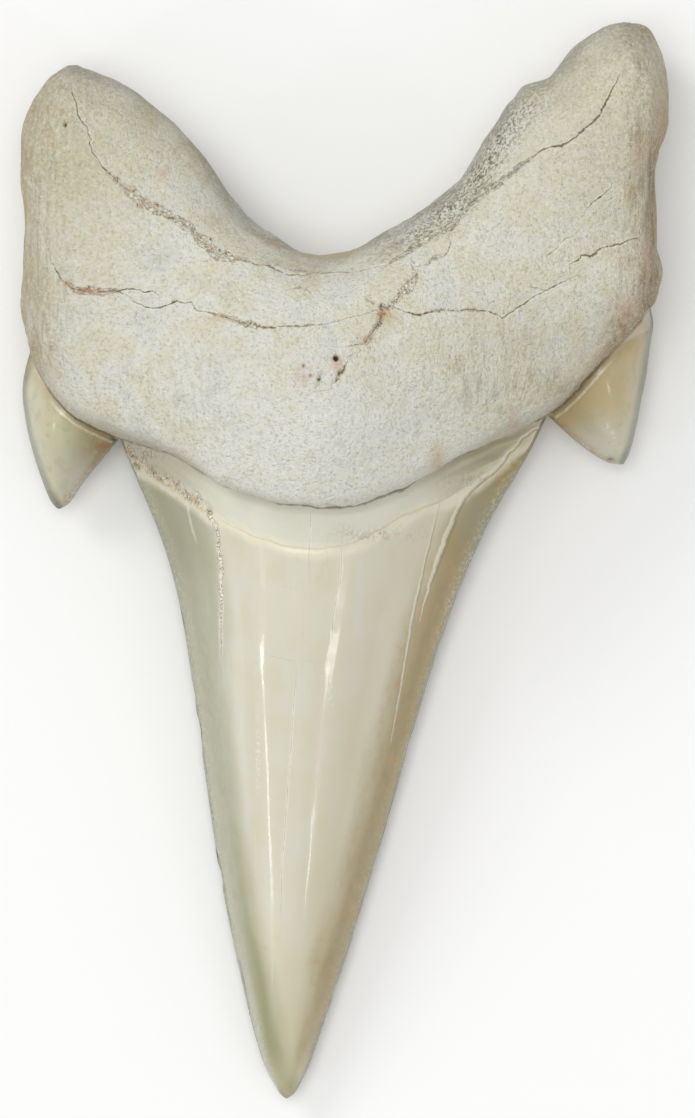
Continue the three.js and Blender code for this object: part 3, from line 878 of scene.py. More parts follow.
@dataclass
class Zones:
    """Splits the skin into root and crown, on its upper and its lower face, and trues its outline."""

    seam: float = 0.05
    blunt: float = 0.5
    cusp_tip: Pair = (-20.1, 3.6)
    tip: Pair = (-4.0, -38.0)
    rolls: Pair = (0.7, 1.1)
    roll_ends: Pair = (33.0, 37.0)
    lower_top: float = 3.4
    crown_from: Pair = (-16.0, -15.4)
    crown_to: Pair = (14.6, 14.0)
    ledge_from: Pair = (-15.0, -7.0)
    ledge_to: Pair = (13.0, 8.0)
    margin_wiggle: Pair = (0.28, 1.4)
    edge_wiggle: Pair = (0.16, 1.0)
    whole: float = 80.0
    no_edge: float = -9.0

    def mark(self, skin: Skin) -> None:
        """Adds the masks of the zones.

        Args:
            skin: the skin, which is changed.
        """
        for x, y, wide, high, shift in PLAN_SHIFTS:
            skin.points[:, 0] += shift * spot(skin.plan, x, y, wide, high)
        self._round(skin)
        self._square(skin)
        plan, masks = skin.plan, skin.masks
        margin, labial, edge = (self._gap(line, plan) for line in (MARGIN, LABIAL_EDGE, ENAMEL_EDGE))
        under = (skin.normals[:, 2] < 0.0) & (skin.points[:, 2] < self.lower_top)
        masks["upper"] = 1.0 - under
        masks["root_gap"] = np.where(under, labial, margin)
        masks["root"] = smooth(masks["root_gap"], -self.seam, self.seam)
        masks["edge_gap"] = np.where(under, self.no_edge, edge)
        self._wander(skin, margin, *self.margin_wiggle)
        self._wander(skin, edge, *self.edge_wiggle)
        over_crown = smooth(plan[:, 0], *self.crown_from) * smooth(plan[:, 0], *self.crown_to)
        masks["over_crown"] = over_crown * masks["upper"]
        masks["dusk"] = np.clip(spots(plan, "dusk"), 0.0, 1.0) * masks["upper"]
        ledge = smooth(plan[:, 0], *self.ledge_from) * smooth(plan[:, 0], *self.ledge_to)
        masks["ledge"] = ledge * masks["upper"]

    def _gap(self, line: Line, plan: np.ndarray) -> np.ndarray:
        """The signed distance to a line that crosses the whole tooth.

        Args:
            line: the line.
            plan: x and y of each point.

        Returns:
            The distance, above 0 on the root's side.
        """
        distance, _, side = line.measure(plan, self.whole)
        return distance * side

    def _round(self, skin: Skin) -> None:
        """Widens the tips of the left cusplet and of the crown, so that they are rounder.

        Args:
            skin: the skin, which is changed.
        """
        x, rise = skin.points[:, 0] - self.cusp_tip[0], skin.points[:, 1] - self.cusp_tip[1]
        skin.points[:, 0] += x * np.exp(-rise / self.blunt) * smooth(np.abs(x), 2.0, 1.0) * (rise < 4.0)
        wider = np.interp(skin.points[:, 1] - self.tip[1], *zip(*TIP_WIDTH))
        skin.points[:, 0] += (skin.points[:, 0] - self.tip[0]) * (wider - 1.0)

    def _square(self, skin: Skin) -> None:
        """Moves the root's upper face out towards its sides, so that it rolls over nearer to them.

        Args:
            skin: the skin, which is changed.
        """
        y, z = skin.points[:, 1], skin.points[:, 2]
        tall = smooth(y, 12.5, 16.0) * smooth(z, 3.0, 7.0)
        for line, out, most, top in zip(OUTER_SIDES, (-1.0, 1.0), self.rolls, self.roll_ends):
            distance, _, _ = line.measure(skin.plan, reach=9.0)
            roll = np.interp(distance, (0.0, 0.4, 2.0, 5.0), (0.0, 0.25, 1.0, 0.0))
            skin.points[:, 0] += out * most * (roll * smooth(y, top, top - 4.0)) * tall

    def _wander(self, skin: Skin, gap: np.ndarray, reach: float, size: float) -> None:
        """Makes a line on the upper face less even, by moving the surface near it up and down in plan.

        Args:
            skin: the skin, which is changed.
            gap: each point's distance from the line.
            reach: how far the line moves.
            size: the length of its wiggles.
        """
        near = smooth(np.abs(gap), 1.3, 0.2) * smooth(skin.normals[:, 2], 0.0, 0.3)
        near *= smooth(np.abs(skin.points[:, 0] + 1.0), 14.0, 11.0)
        along = skin.points * np.array([1.0, 0.4, 0.2])
        skin.points[:, 1] += reach * near * LINE_WANDER.layered(along, size, 3)


@dataclass
class RootRelief:
    """The root's weathered bone: lumps, fibres, pores, cracks and the grit along its arch."""

    lumps: float = 0.15
    grain: float = 0.05
    fibres: float = 0.16
    grit: float = 0.18
    ribs: float = 0.28
    fray: float = 0.13
    undercut: float = 0.22
    brim: float = 0.45
    overhang: float = 0.3
    layers: float = 0.1
    cusp_ridge: float = 0.07
    lump_size: float = 4.5
    grain_size: float = 0.9
    grit_size: float = 0.6
    fray_size: float = 1.1
    crumb_size: float = 0.42
    fibre_size: Triple = (0.7, 5.0, 1.2)
    rib_size: Triple = (2.4, 6.0, 1.8)

    def carve(self, skin: Skin) -> None:
        """Carves the root and marks what colours it.

        Args:
            skin: the skin, which is changed.
        """
        plan, masks, up = skin.plan, skin.masks, skin.normals[:, 2]
        root, upper = masks["root"], masks["upper"]
        arch, along, _ = ARCH_EDGE.measure(plan, reach=8.0)
        outer, right = nearest(OUTER_SIDES, plan, 9.0), nearest(OUTER_SIDES[1:], plan, 9.0)
        span = smooth(plan[:, 1], 12.0, 16.0) * smooth(plan[:, 1], 32.5, 26.0)
        # tan streaks near the right side and the notch, and soot strongest at the right outline, partly
        # painted shade
        fold = (smooth(right, 1.4, 0.0) + 0.2 * smooth(right, 3.0, 1.0)) * span + spots(plan, "fold")
        turned = 0.4 + 0.6 * smooth(up, -0.1, 0.35)
        gritty = smooth(along, 0.48, 0.6) * smooth(along, 0.9, 0.75) * root
        facing = 0.2 + 0.8 * smooth(up, 0.1, 0.55)
        # painted shade along the notch's edge, where the bone curves away, with some brown tint of the bone
        masks["arch"] = smooth(arch, 3.4, 0.2) * root
        masks["arch_rim"] = (smooth(arch, 1.1, 0.1) + spots(plan, "smudges")) * root
        masks["grit"] = smooth(arch, 2.8, 0.9) * gritty * facing * upper
        masks["gritty"] = smooth(arch, 4.4, 3.2) * gritty
        masks["fold"] = np.clip(fold, 0.0, 1.0) * turned * root * upper
        masks["fibre"] = np.clip(smooth(outer, 4.6, 1.0) + spots(plan, "fibre"), 0.0, 1.0) * root
        # darker brown towards the outer sides: partly the bone's own brown, partly painted shade where the
        # sides roll away
        masks["side"] = (0.5 * smooth(outer, 3.4, 0.3) + 0.5 * smooth(outer, 1.3, 0.2)) * root
        masks["warm"] = np.clip(spots(plan, "warm"), 0.0, 1.0) * root
        masks["pale"] = spots(plan, "pale") * root
        for name in ("rust", "yellow"):
            masks[name] = spots(plan, name) * root * upper
        steep = smooth(up, 0.5, 0.1) * smooth(up, -0.6, -0.2)
        height = self.lumps * LUMPS.layered(skin.points, self.lump_size, 3)
        height += self.grain * GRAIN.layered(skin.points, self.grain_size, 2)
        height += self.fibres * masks["fibre"] * FIBRES.layered(skin.points, self.fibre_size, 2)
        height += masks["grit"] * (self.grit * GRIT.layered(skin.points, self.grit_size, 2) - 0.1)
        height += self.ribs * steep * RIBS.layered(skin.points, self.rib_size, 2)
        skin.move(height * root)
        self._ledge(skin)
        self._cracks(skin)
        self._pits(skin)

    def _ledge(self, skin: Skin) -> None:
        """Frays the root's lower margin, and undercuts it where it stands over the bare band.

        Args:
            skin: the skin, which is changed.
        """
        masks = skin.masks
        gap, upper, ledge = masks["root_gap"], masks["upper"], masks["ledge"]
        wide = smooth(skin.points[:, 0], -20.9, -20.1) * smooth(skin.points[:, 0], 19.4, 18.0)
        fray = smooth(gap, 1.5, 0.2) * smooth(gap, -0.1, 0.1) * upper
        skin.move(self.fray * fray * FRAY.layered(skin.points, self.fray_size, 2))
        groove = smooth(gap, -0.7, -0.12) * smooth(gap, 0.06, -0.08) * upper
        skin.move(-self.undercut * groove * (0.35 + 0.65 * ledge))
        skin.points[:, 2] += self.brim * smooth(gap, 0.1, 0.4) * smooth(gap, 3.2, 0.5) * ledge
        skin.points[:, 1] -= self.overhang * smooth(gap, 0.05, 0.3) * smooth(gap, 1.8, 0.4) * ledge
        sheet = np.column_stack((gap / 0.3, skin.points[:, 0] / 2.5, skin.points[:, 1] / 2.5))
        layers = BARK.layered(sheet, 1.0, 2)
        bark = masks["dusk"] * smooth(gap, -0.05, -0.2) * smooth(gap, -3.4, -2.6)
        masks["bark"] = bark * np.clip(0.5 + 1.2 * layers, 0.0, 1.0)
        skin.move(self.layers * bark * layers)
        masks["cusp_ridge"] = (1.0 - masks["over_crown"]) * upper * wide
        crest = smooth(np.abs(gap + CUSP_RIDGE), 0.16, 0.0) * masks["cusp_ridge"]
        skin.move(self.cusp_ridge * crest)

    def _cracks(self, skin: Skin) -> None:
        """Opens the cracks, and fills parts of them with crumbs of rock.

        Args:
            skin: the skin, which gets the cracks' masks.
        """
        crumbs = CRUMBS.layered(skin.points, self.crumb_size, 2)
        wander = CRACK_WANDER.layered(skin.points, 0.9, 2)
        facing = smooth(skin.normals[:, 2], 0.05, 0.25) * skin.masks["root"]
        for group in ROOT_CRACKS:
            gap, _, deep, rock = group.mark(skin, facing)
            away, half = np.abs(gap), skin.masks[f"{group.name}_half"]
            skin.masks[f"{group.name}_rock"] = rock
            core = smooth(away, half * (1.4 + wander) + 0.07, 0.0) * (half > 0.0)
            apron = smooth(away, 0.15 + 0.3 * rock * (1.0 + 0.6 * wander), 0.1) * rock
            skin.move(-0.35 * deep * core * (1.0 - 0.5 * rock) + apron * (0.13 * crumbs - 0.02))

    def _pits(self, skin: Skin) -> None:
        """Sinks the pores.

        Args:
            skin: the skin, which gets the mask pit_gap.
        """
        gap = np.full(len(skin.points), 1.0)
        facing = smooth(skin.normals[:, 2], 0.2, 0.4) * skin.masks["root"]
        for pit in PITS:
            away = np.hypot(skin.points[:, 0] - pit.x, skin.points[:, 1] - pit.y)
            skin.move(-pit.depth * smooth(away, pit.radius * 1.2, pit.radius * 0.4) * facing)
            gap = np.minimum(gap, away - pit.radius * facing)
        skin.masks["pit_gap"] = gap


@dataclass
class EnamelRelief:
    """The crown and the cusplets: the enamel's lip, ridges, hairlines, waviness and nicked edges."""

    wave: float = 0.012
    lip: float = 0.018
    nick: float = 0.16
    crumb: float = 0.15
    filling: float = 0.1
    furthest: float = 12.0
    wave_size: Triple = (1.5, 8.0, 3.0)
    crumb_size: float = 0.36
    nick_size: Triple = (1.0, 0.8, 1.0)
    left_flank: Points = ((-36, 1.3), (-30, 1.8), (-12, 1.9), (-8, 2.1), (-4, 2.6), (0, 3.0), (6, 3.2))
    right_flank: Points = ((-36, 1.0), (-32, 1.7), (-28, 2.3), (-20, 2.6), (-4, 3.0), (2, 3.0), (8, 2.4))

    def carve(self, skin: Skin) -> None:
        """Carves the enamel and marks what colours it.

        Args:
            skin: the skin, which is changed.
        """
        plan, masks = skin.plan, skin.masks
        x, y = plan[:, 0], plan[:, 1]
        enamel, edge = 1.0 - masks["root"], masks["edge_gap"]
        height = np.zeros(len(plan))
        shiny = 0.4 + 0.6 * smooth(y, -6.0, -3.0) * smooth(y, 7.0, 5.0)
        sides = (
            ("left", CROWN_LEFT, self.left_flank, 0.7, 1.0),
            ("right", CROWN_RIGHT, self.right_flank, shiny, 0.4),
        )
        for name, line, flank, glint, nicked in sides:
            rim, along, _ = line.measure(plan, self.furthest)
            rim = np.minimum(rim, self.furthest)
            masks[f"{name}_rim"] = rim
            masks[f"{name}_in"] = rim - np.interp(y, *zip(*flank))
            masks[f"{name}_edge"] = smooth(rim, 1.0, 0.1) * enamel * glint
            height += nicked * self._nicks(skin, rim, along)
        cusps = (smooth(x, -15.9, -16.6) + smooth(x, 14.6, 15.2)) * enamel
        face = enamel * masks["upper"]
        masks["rim"] = smooth(np.minimum(masks["left_rim"], masks["right_rim"]), 0.4, 0.1) * enamel
        masks["tip"] = smooth(y, -26.0, -38.0) * enamel
        masks["worn"] = np.clip(smooth(np.abs(edge), 6.0, 2.5) + spots(plan, "worn"), 0.0, 1.0) * face
        masks["inner"] = np.clip(spots(plan, "inner"), 0.0, 1.0) * face
        masks["cusp"] = cusps
        masks["cusp_rim"] = smooth(nearest(CUSP_SIDES, plan, 3.0), 0.7, 0.15) * cusps
        masks["cusp_edge"] = smooth(nearest(CUSP_INNER_SIDES, plan, 3.0), 0.7, 0.1) * cusps
        for name in ("painted_glints", "chip", "cusp_pale"):
            masks[name] = spots(plan, name)
        for name in ("smoke", "cusp_warm"):
            masks[name] = np.clip(spots(plan, name), 0.0, 1.0)
        height += self.wave * WAVES.layered(skin.points, self.wave_size, 2) * enamel
        height += self.lip * smooth(np.abs(edge + 0.2), 0.5, 0.05) * masks["over_crown"] * enamel
        skin.move(height + self._grains(skin) + self._ridges(skin))

    def _grains(self, skin: Skin) -> np.ndarray:
        """Crumbs of rock stuck along the enamel's edge and in the crown's crack.

        Args:
            skin: the skin, which gets the mask grains and the masks of the crown's cracks.

        Returns:
            The height of the crumbs and the depth of the cracks.
        """
        plan, masks = skin.plan, skin.masks
        facing = masks["upper"] * (1.0 - masks["root"])
        lumps = GRAINS.layered(skin.points, self.crumb_size, 2)
        place = smooth(plan[:, 0], -8.4, -10.5) * smooth(plan[:, 0], -16.4, -15.6)
        strip = smooth(np.abs(masks["edge_gap"] - 0.1), 0.55, 0.15) * place
        amount = np.maximum(strip, spots(plan, "corner")) + spots(plan, "crumbs")
        masks["grains"] = np.clip(amount, 0.0, 1.0) * facing
        height = self.crumb * masks["grains"] * lumps
        for group in CROWN_CRACKS:
            gap, half, deep, rock = group.mark(skin, facing)
            masks[f"{group.name}_rock"] = rock
            height -= deep * smooth(np.abs(gap), half + 0.06, 0.0) * (half > 0.0)
            height += self.filling * rock * lumps * smooth(np.abs(gap), 0.25, 0.05)
        return height

    def _ridges(self, skin: Skin) -> np.ndarray:
        """The two fine ridges down the right of the crown, with the surface lower to their right.

        Args:
            skin: the skin, which gets the ridges' masks.

        Returns:
            The height of the ridges.
        """
        facing = skin.masks["upper"] * (1.0 - skin.masks["root"])
        total = np.zeros(len(skin.points))
        for group in CROWN_RIDGES:
            gap, half, tall, _ = group.mark(skin, facing)
            total += tall * (smooth(np.abs(gap), half + 0.1, 0.0) - 0.8 * smooth(gap, 1.1, 0.1) * (gap > 0))
        return total

    def _nicks(self, skin: Skin, distance: np.ndarray, share: np.ndarray) -> np.ndarray:
        """Small nicks along a cutting edge.

        Args:
            skin: the skin, which gets the mask nick.
            distance: how far each point is from the edge.
            share: how far along the edge it is.

        Returns:
            The depth of the nicks.
        """
        bite = smooth(NICKS.layered(skin.points, self.nick_size, 2), 0.2, 0.45)
        place = smooth(share, 0.2, 0.35) * smooth(share, 0.93, 0.8)
        amount = bite * place * smooth(distance, 0.35, 0.08) * (1.0 - skin.masks["root"])
        skin.masks["nick"] = np.maximum(skin.masks.get("nick", 0.0 * amount), amount)
        return -self.nick * amount


# ------------------------------------------------------------------------------------------------
# Shader maths
# ------------------------------------------------------------------------------------------------

Colour = tuple[float, float, float, float]


class Blend(Enum):
    """How a Mix node lays one colour over another."""

    COVER = "MIX"
    DARKEN = "MULTIPLY"


def srgb(red: int, green: int, blue: int) -> Colour:
    """Turns a display colour into the linear one that shaders use.

    Args:
        red: 0 to 255.
        green: 0 to 255.
        blue: 0 to 255.

    Returns:
        The linear colour with an alpha of 1.
    """
    shares = [value / 255.0 for value in (red, green, blue)]
    linear = [share / 12.92 if share <= 0.04045 else ((share + 0.055) / 1.055) ** 2.4 for share in shares]
    return (*linear, 1.0)


class Wire:
    """The value on a socket, which stands in expressions as a number would."""

    def __init__(self, graph: "Graph", socket: bpy.types.NodeSocket | None) -> None:
        """Wraps a socket.

        Args:
            graph: the graph that the socket is in.
            socket: the output socket.
        """
        self.graph = graph
        self.socket = socket

    def _math(self, operation: str, first: "Wire | float", second: "Wire | float" = 0.0) -> "Wire":
        """Adds a Math node.

        Args:
            operation: its operation.
            first: its first value.
            second: its second value.

        Returns:
            Its result.
        """
        return self.graph.add("ShaderNodeMath", {"operation": operation}, {0: first, 1: second})

    def __add__(self, other: "Wire | float") -> "Wire":
        """self + other."""
        return self._math("ADD", self, other)

    __radd__ = __add__

    def __sub__(self, other: "Wire | float") -> "Wire":
        """self - other."""
        return self._math("SUBTRACT", self, other)

    def __rsub__(self, other: "Wire | float") -> "Wire":
        """other - self."""
        return self._math("SUBTRACT", other, self)

    def __mul__(self, other: "Wire | float") -> "Wire":
        """self * other."""
        return self._math("MULTIPLY", self, other)

    __rmul__ = __mul__

    def __abs__(self) -> "Wire":
        """The size of self."""
        return self._math("ABSOLUTE", self)

    def most(self, other: "Wire | float") -> "Wire":
        """The greater of self and other."""
        return self._math("MAXIMUM", self, other)

    def rise(self, low: float, high: float) -> "Wire":
        """Rises smoothly from 0 at low to 1 at high.

        Args:
            low: where the rise starts.
            high: where the rise ends.

        Returns:
            The graded value.
        """
        settings = {"interpolation_type": "SMOOTHSTEP", "clamp": True}
        sockets = {"Value": self, "From Min": low, "From Max": high}
        return self.graph.add("ShaderNodeMapRange", settings, sockets)


class Graph:
    """The nodes of one material."""

    def __init__(self, material: bpy.types.Material, unit: float) -> None:
        """Empties the material's node tree.

        Args:
            material: the material.
            unit: one design millimetre, in metres.
        """
        material.use_nodes = True
        self.tree = material.node_tree
        self.tree.nodes.clear()
        self.unit = unit

    def add(
        self,
        kind: str,
        settings: dict[str, object] | None = None,
        sockets: dict[str | int, object] | None = None,
        output: str | int = 0,
    ) -> Wire:
        """Adds a node.

        Args:
            kind: the node's type.
            settings: its properties.
            sockets: values or wires for its inputs, by name or number.
            output: which output to give back.

        Returns:
            The output as a wire.
        """
        node = self.tree.nodes.new(kind)
        for name, value in (settings or {}).items():
            setattr(node, name, value)
        for name, value in (sockets or {}).items():
            if isinstance(value, Wire):
                self.tree.links.new(value.socket, node.inputs[name])
            else:
                node.inputs[name].default_value = value
        return Wire(self, node.outputs[output] if len(node.outputs) else None)

    def mask(self, name: str) -> Wire:
        """Reads one of the skin's masks.

        Args:
            name: the mask's name.

        Returns:
            Its value.
        """
        return self.add("ShaderNodeAttribute", {"attribute_name": name}, output="Fac")

    def place(self, stretch: Triple = (1.0, 1.0, 1.0)) -> Wire:
        """The place on the tooth in design millimetres.

        Args:
            stretch: how much longer than wide the pattern's lumps are, by axis.

        Returns:
            The place, divided by the stretch.
        """
        where = self.add("ShaderNodeTexCoord", output="Object")
        scale = tuple(1.0 / (self.unit * part) for part in stretch)
        return self.add("ShaderNodeVectorMath", {"operation": "MULTIPLY"}, {0: where, 1: scale})

    def noise(
        self,
        size: float,
        detail: float = 3.0,
        roughness: float = 0.5,
        stretch: Triple = (1.0, 1.0, 1.0),
    ) -> Wire:
        """Procedural noise, from 0 to 1.

        Args:
            size: the size of a lump, in design millimetres.
            detail: how many finer layers.
            roughness: how strong the finer layers are.
            stretch: how much longer the lumps are, by axis.

        Returns:
            The noise's value.
        """
        sockets = {"Vector": self.place(stretch), "Scale": 1.0 / size, "Detail": detail}
        return self.add("ShaderNodeTexNoise", {}, sockets | {"Roughness": roughness})

    def cells(self, size: float, bent: Wire | None = None) -> Wire:
        """The distance to the nearest of scattered points, from 0.

        Args:
            size: the points' spacing, in design millimetres.
            bent: what pushes the cells out of shape, in design millimetres.

        Returns:
            The distance.
        """
        place = self.place()
        if bent is not None:
            place = self.add("ShaderNodeVectorMath", {"operation": "ADD"}, {0: place, 1: bent})
        sockets = {"Vector": place, "Scale": 1.0 / size}
        return self.add("ShaderNodeTexVoronoi", {}, sockets, "Distance")

    def mix(
        self, factor: Wire | float, first: Wire | Colour, second: Wire | Colour, blend: Blend = Blend.COVER
    ) -> Wire:
        """Mixes two colours.

        Args:
            factor: 0 for the first, 1 for the second.
            first: a colour.
            second: a colour.
            blend: how the second lies over the first.

        Returns:
            The mixed colour.
        """
        settings = {"data_type": "RGBA", "blend_type": blend.value, "clamp_factor": True}
        return self.add("ShaderNodeMix", settings, {0: factor, 6: first, 7: second}, 2)

    def coat(self, colour: Wire, *layers: tuple[Wire, Wire | Colour]) -> Wire:
        """Lays colours over a colour, one after the other.

        Args:
            colour: the colour under them.
            layers: each layer's factor and colour.

        Returns:
            The mixed colour.
        """
        for factor, tint in layers:
            colour = self.mix(factor, colour, tint)
        return colour

    def finish(self, sockets: dict[str, object]) -> None:
        """Ends the material with its shader.

        Args:
            sockets: values or wires for the shader's inputs.
        """
        shader = self.add("ShaderNodeBsdfPrincipled", {}, sockets)
        self.add("ShaderNodeOutputMaterial", {}, {"Surface": shader})


Surface = tuple[Wire, Wire]


# ------------------------------------------------------------------------------------------------
# Finishes
# ------------------------------------------------------------------------------------------------


class Patterns:
    """The noise that the finishes share, each kind made only once."""

    def __init__(self, graph: Graph, crumb: float) -> None:
        """Adds the patterns.

        Args:
            graph: the material's graph.
            crumb: the size of a crumb, in design millimetres.
        """
        self.wander = graph.noise(0.35, 2.0, 0.6) - 0.5
        self.mottle = graph.noise(0.75, 2.0, 0.5)
        self.patches = graph.noise(0.9, 2.0) * 1.8 - 0.2
        self.blotch = graph.noise(2.6, 3.0)
        self.speck = graph.noise(0.26, 3.0, 0.8)
        self.fibre = graph.noise(0.38, 3.0, 0.65, (1.0, 5.5, 1.5))
        self.streak = graph.noise(1.3, 3.0, 0.5, (1.0, 12.0, 2.0))
        self.pores = graph.cells(0.45)
        self.crumbs = graph.cells(crumb, self.wander * 0.5)
        self.swell = self.mottle.rise(0.43, 0.58)
        self.dark = self.wander.rise(0.0, 0.14)
        self.ragged = self.wander * 0.25


@dataclass(frozen=True)
class BoneFinish:
    """The root's chalky, fibrous, off-white bone."""

    chalk: Colour = srgb(243, 242, 229)
    cream: Colour = srgb(237, 233, 209)
    ash: Colour = srgb(231, 233, 224)
    straw: Colour = srgb(212, 204, 168)
    # grey-brown of fibres, pores and bark layers, also used for painted shade along the notch and under the
    # root's margin
    grey_brown_and_shade: Colour = srgb(148, 138, 112)
    pear: Colour = srgb(224, 219, 184)
    grain: Colour = srgb(174, 170, 148)
    cloud: Colour = srgb(230, 233, 226)
    speck: Colour = srgb(96, 94, 84)
    slate: Colour = srgb(138, 140, 134)
    bark: Colour = srgb(178, 156, 116)
    tan: Colour = srgb(196, 164, 112)
    soot: Colour = srgb(118, 110, 92)
    ochre: Colour = srgb(206, 188, 132)
    rust: Colour = srgb(206, 142, 100)
    milk: Colour = srgb(249, 249, 240)
    roughness: float = 0.85

    def colour(self, graph: Graph, pattern: Patterns) -> Wire:
        """Mixes the bone's colour.

        Args:
            graph: the material's graph.
            pattern: the patterns that the finishes share.

        Returns:
            The colour.
        """
        mask, blotch, mottle, speck = graph.mask, pattern.blotch, pattern.mottle, pattern.speck
        fold, grit, corner = mask("fold"), mask("grit"), 1.0 - mask("ledge")
        return graph.coat(
            graph.mix(blotch.rise(0.45, 0.6), self.chalk, self.cream),
            (blotch.rise(0.46, 0.34) * 0.6, self.ash),
            (mask("warm") * (blotch.rise(0.7, 0.3) * 0.4 + 0.45), self.straw),
            # painted light on the root's low middle, and a paler patch below the notch
            (mask("pale") * 0.85, self.milk),
            (mottle.rise(0.47, 0.7) * 0.35, self.pear),
            (mottle.rise(0.5, 0.3) * 0.25, self.cloud),
            (pattern.fibre.rise(0.46, 0.66) * mask("fibre") * 0.45, self.grey_brown_and_shade),
            # the sides: partly the bone's own brown, partly painted shade
            (mask("side") * (blotch.rise(0.3, 0.65) * 0.4 + 0.32), self.bark),
            # the tan streaks are stains; the soot, strongest at the right outline, is partly brown stain and
            # partly painted shade
            (fold * (pattern.streak.rise(0.36, 0.56) * 0.5 + 0.3), self.tan),
            (fold * fold * (pattern.fibre.rise(0.42, 0.58) * 0.5 + 0.3), self.soot),
            (mask("root_gap").rise(1.0, 0.0) * (corner * 0.3 + 0.2), self.bark),
            # painted shade along the notch's edge, with some brown tint of the bone
            (mask("arch") * blotch.rise(0.2, 0.7) * 0.5, self.grey_brown_and_shade),
            (mask("arch_rim") * (mottle * 0.5 + 0.2), self.slate),
            (speck.rise(0.52, 0.68) * 0.45, self.grain),
            (speck.rise(0.5, 0.34) * 0.5, self.milk),
            (pattern.pores.rise(0.18, 0.05) * 0.3, self.grey_brown_and_shade),
            (speck.rise(0.5, 0.58) * grit * 0.9, self.speck),
            (speck.rise(0.47, 0.38) * grit * 0.6, self.milk),
            (mask("yellow") * blotch.rise(0.25, 0.6) * 0.6, self.ochre),
        )


@dataclass(frozen=True)
class EnamelFinish:
    """The crown's glossy ivory enamel, olive on the left flank, brown on the right, each with painted shade.
    """

    ivory: Colour = srgb(209, 206, 187)
    milk: Colour = srgb(210, 209, 199)
    straw: Colour = srgb(207, 202, 175)
    olive: Colour = srgb(156, 155, 120)
    moss: Colour = srgb(140, 140, 100)
    brown: Colour = srgb(154, 134, 70)
    umber: Colour = srgb(137, 116, 50)
    amber: Colour = srgb(176, 134, 66)
    beige: Colour = srgb(205, 195, 164)
    blush: Colour = srgb(211, 200, 183)
    horn: Colour = srgb(180, 178, 144)
    edge: Colour = srgb(204, 203, 184)
    rim: Colour = srgb(138, 142, 120)
    cusp: Colour = srgb(181, 179, 144)
    smoke: Colour = srgb(148, 143, 117)
    dusk: Colour = srgb(108, 112, 92)
    pink: Colour = srgb(206, 180, 152)
    stain: Colour = srgb(156, 118, 76)
    warm_cusp: Colour = srgb(182, 160, 110)
    roughness: float = 0.3

    def colour(self, graph: Graph, pattern: Patterns) -> Wire:
        """Mixes the enamel's colour.

        Args:
            graph: the material's graph.
            pattern: the patterns that the finishes share.

        Returns:
            The colour.
        """
        mask, blotch, streak = graph.mask, pattern.blotch, pattern.streak
        mottle, speck = pattern.mottle, pattern.speck
        wobble = graph.noise(2.5, 2.0, 0.5, (1.0, 3.0, 1.0)) - 0.5
        left, right = mask("left_in") + wobble, mask("right_in") + wobble
        end = mask("tip").rise(0.75, 0.98)
        # The flanks' olive and brown are partly the enamel's own colour and partly painted shade where the
        # flanks slope away from the light.
        green = left.rise(1.2, -0.6) * (1.0 - end * 0.5)
        tan = right.rise(0.5, -1.5) * (1.0 - end * 0.7)
        # Painted shade: a darker band about a millimetre in from each cutting edge.
        green_shade_band = abs(mask("left_rim") + wobble * 0.5 - 1.1).rise(0.8, 0.15) * green
        tan_shade_band = abs(mask("right_rim") + wobble * 0.5 - 1.0).rise(0.7, 0.1) * tan
        return graph.coat(
            graph.mix(blotch.rise(0.42, 0.6) * 0.7, self.ivory, self.straw),
            (streak.rise(0.46, 0.3) * 0.5, self.milk),
            (streak.rise(0.52, 0.66) * 0.5, self.blush),
            (mask("tip"), self.horn),
            (right.rise(3.6, 0.0) * 0.6, self.beige),
            # the flanks: the enamel's own olive and brown, with painted shade
            (green * 0.9, self.olive),
            (green_shade_band * 0.55, self.moss),
            (tan * 0.92, self.brown),
            (tan_shade_band * 0.6, self.umber),
            (pattern.patches.rise(0.7, 1.1) * tan * 0.55, self.amber),
            (mask("smoke") * green.most(tan) * 0.7, self.smoke),
            (mask("cusp") * 0.8, self.cusp),
            (mask("cusp") * mottle.rise(0.5, 0.66) * 0.4, self.pink),
            (mask("cusp") * mottle.rise(0.48, 0.34) * 0.35, self.olive),
            (mask("cusp_warm") * 0.75, self.warm_cusp),
            (mask("inner") * mottle.rise(0.3, 0.6) * 0.8, self.stain),
            (mask("cusp_pale") * 0.5, self.milk),
            (mask("cusp_edge") * speck.rise(0.4, 0.56) * 0.6, self.stain),
            (mask("rim") * 0.75, self.rim),
            (mask("cusp_rim") * (speck * 0.8 + 0.4), self.dusk),
            # pale specks along the cutting edges: partly pale chips, partly painted glints
            ((mask("left_edge") + mask("right_edge")) * speck.rise(0.5, 0.6) * 0.6, self.edge),
        )


